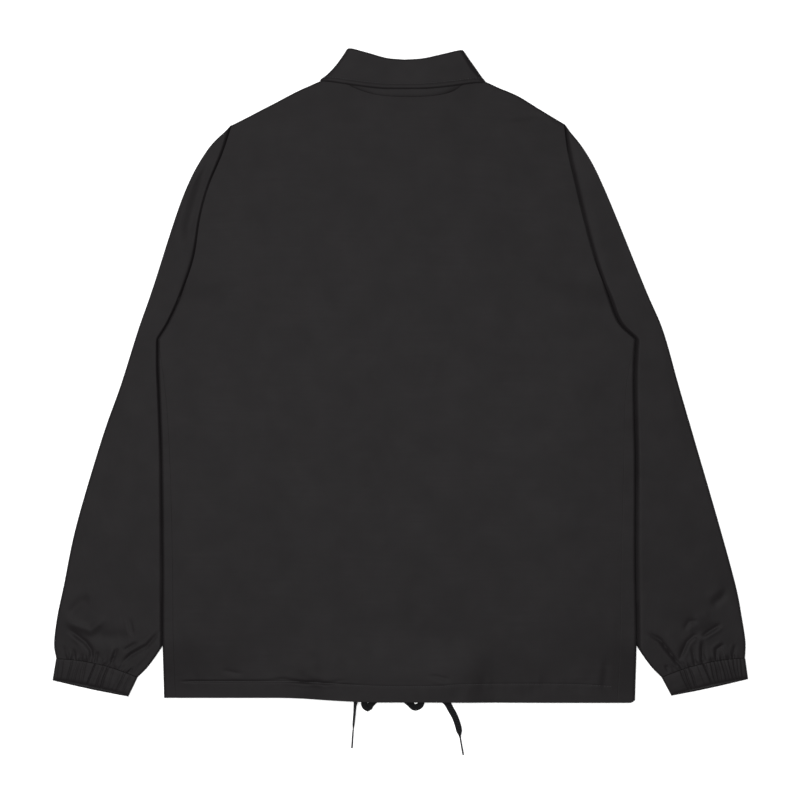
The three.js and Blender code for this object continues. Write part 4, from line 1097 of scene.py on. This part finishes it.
collar_stations = [COLLAR_HALF * 2 * k / 176 for k in range(177)]
fall_columns = [0, 1] + [2 + k / 3 for k in range(12)] + [6 + k / 30 for k in range(31)]
stand = cloth_piece("collar_stand_cloth", [k / 8 for k in range(9)], collar_stations, stand_point,
                    SINGLE_WALL, flip=True)
fall = cloth_piece("collar_fall_cloth", fall_columns, collar_stations, fall_point, SINGLE_WALL)


# Topstitching: short lengths of thread half sunk in the cloth

STITCH, STITCH_GAP, THREAD_RADIUS = 2.5, 0.7, 0.26


def hem_path(x):
    y = read(HEM_STITCH, "x", "y", x)
    return Vector((x, y, back_top(x, y) + back_relief(x, y) + 0.05))


def collar_path(index):
    _, _, fold, edge = collar_station(index)
    length = (edge - fold).length - CREST
    return fall_point(FALL_RISE + FALL_ARC + 1 - COLLAR_STITCH / length, index)


def stitched(name, path, start, end, steps=400):
    """A row of stitches along a path on the cloth's face, which isn't read by its length."""
    route = Route([path(mix(start, end, k / steps)) for k in range(steps + 1)], 1)
    bm = bmesh.new()
    pitch = STITCH + STITCH_GAP
    for k in range(int(route.length / pitch)):
        a, b = (place(route.at((k * pitch + past) / route.length)) for past in (0, STITCH))
        turn = (b - a).to_track_quat("X", "Z").to_matrix().to_4x4()
        size = Matrix.Diagonal((STITCH / 2 * MM, THREAD_RADIUS * MM, THREAD_RADIUS * MM, 1))
        bmesh.ops.create_uvsphere(bm, u_segments=8, v_segments=5, radius=1,
                                  matrix=Matrix.Translation((a + b) / 2) @ turn @ size)
    return finished(name, bm, THREAD)


stitches = [
    stitched("hem_stitches", hem_path, -263, 257),
    stitched("collar_stitches", collar_path, 0.4, 31.6),
]


# Metal: eyelets of the hem, and snaps down the front

EYELET_PROFILE = [(3, 0), (5.2, 0), (5.8, 0.15), (6, 0.4), (5.7, 0.62), (5, 0.78), (4, 0.8),
                  (3.3, 0.7), (3, 0.45), (3, 0)]
SNAP_PROFILE = [(0, 0.12), (4.6, 0.1), (5.2, 0), (6.1, 0), (6.6, 0.15), (7, 0.5), (6.8, 0.75),
                (6.2, 0.85), (3, 0.9), (0, 1)]
for side in ("left", "right"):
    x, y, z, _ = LACES[side][0]
    over_lace = (x, y, z + LACE_THICK / 2 + SEAM_GAP)
    rim = spun(f"eyelet_{side}_rim", EYELET_PROFILE, 32, GUNMETAL, at=over_lace)
    stand_for(rim, f"eyelet_{side}")
for k in range(SNAP_COUNT):
    middle = (SNAP_TOP[0], SNAP_TOP[1] - k * SNAP_STEP, 0)
    cap = spun(f"snap_{k + 1}_cap", SNAP_PROFILE, 40, ENAMEL, at=middle)
    stand_for(cap, f"snap_{k + 1}")


# The turn of lace round the bow's middle

WRAP_X, WRAP_Y, WRAP_HALF = -12, -378.5, 12.5


def wrap_point(across, along):
    return Vector((WRAP_X + across * LACE_WIDTH / 2, WRAP_Y + along * WRAP_HALF,
                   2 * smooth(0.72, 0.97, abs(along))))


wrap = cloth_piece("bow_wrap_braid", [k / 4 - 1 for k in range(9)], [k / 20 - 1 for k in range(41)],
                   wrap_point, LACE_THICK, flip=True)
wrap.data.materials.append(BRAID)
stand_for(wrap, "bow_wrap")


# Every cloth piece: the node it stands for, its flat size and the area of its cut, in metres
SHEETS = [
    (back, "back_panel", (0.58, 0.75), 0.395),
    *((fronts[side], f"front_{side}", (0.33, 0.75), 0.225) for side in fronts),
    *((sleeves[side], f"sleeve_{side}", (0.35, 0.66), 0.13) for side in sleeves),
    *((cuffs[side], f"cuff_{side}", (0.205, 0.03), 0.0055) for side in cuffs),
    (stand, "collar_stand", (0.4, 0.045), 0.014),
    (fall, "collar_fall", (0.48, 0.07), 0.026),
]
for piece, node, flat, area in SHEETS:
    piece.data.materials.append(NYLON)
    stand_for(piece, node)
for piece in stitches:
    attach(piece, "root")


# Floor and light

FLOOR_HALF, FLOOR_Z = 9, -0.0004
bm = bmesh.new()
bmesh.ops.create_grid(bm, x_segments=1, y_segments=1, size=FLOOR_HALF)
bmesh.ops.translate(bm, vec=(0, 0, FLOOR_Z), verts=bm.verts)
floor = finished("floor", bm, white_paper("background paper"))


def softbox(name, location, size, power):
    """A square light that faces the middle of the jacket."""
    light = bpy.data.lights.new(name, "AREA")
    light.shape, light.size, light.energy = "SQUARE", size, power
    lamp = linked(name, light)
    lamp.location = location
    lamp.rotation_mode = "QUATERNION"
    lamp.rotation_quaternion = Vector(location).to_track_quat("Z", "Y")


softbox("overhead softbox", (-0.15, 0.1, 2.4), 2, 62)
softbox("head-end softbox", (-1.9, 1.5, 2), 0.9, 24)
world = bpy.data.worlds.new("studio")
world.use_nodes = True
background = world.node_tree.nodes["Background"]
background.inputs["Color"].default_value = (1, 1, 1, 1)
background.inputs["Strength"].default_value = 0.35
bpy.context.scene.world = world
bpy.context.scene.view_settings.view_transform = "Standard"
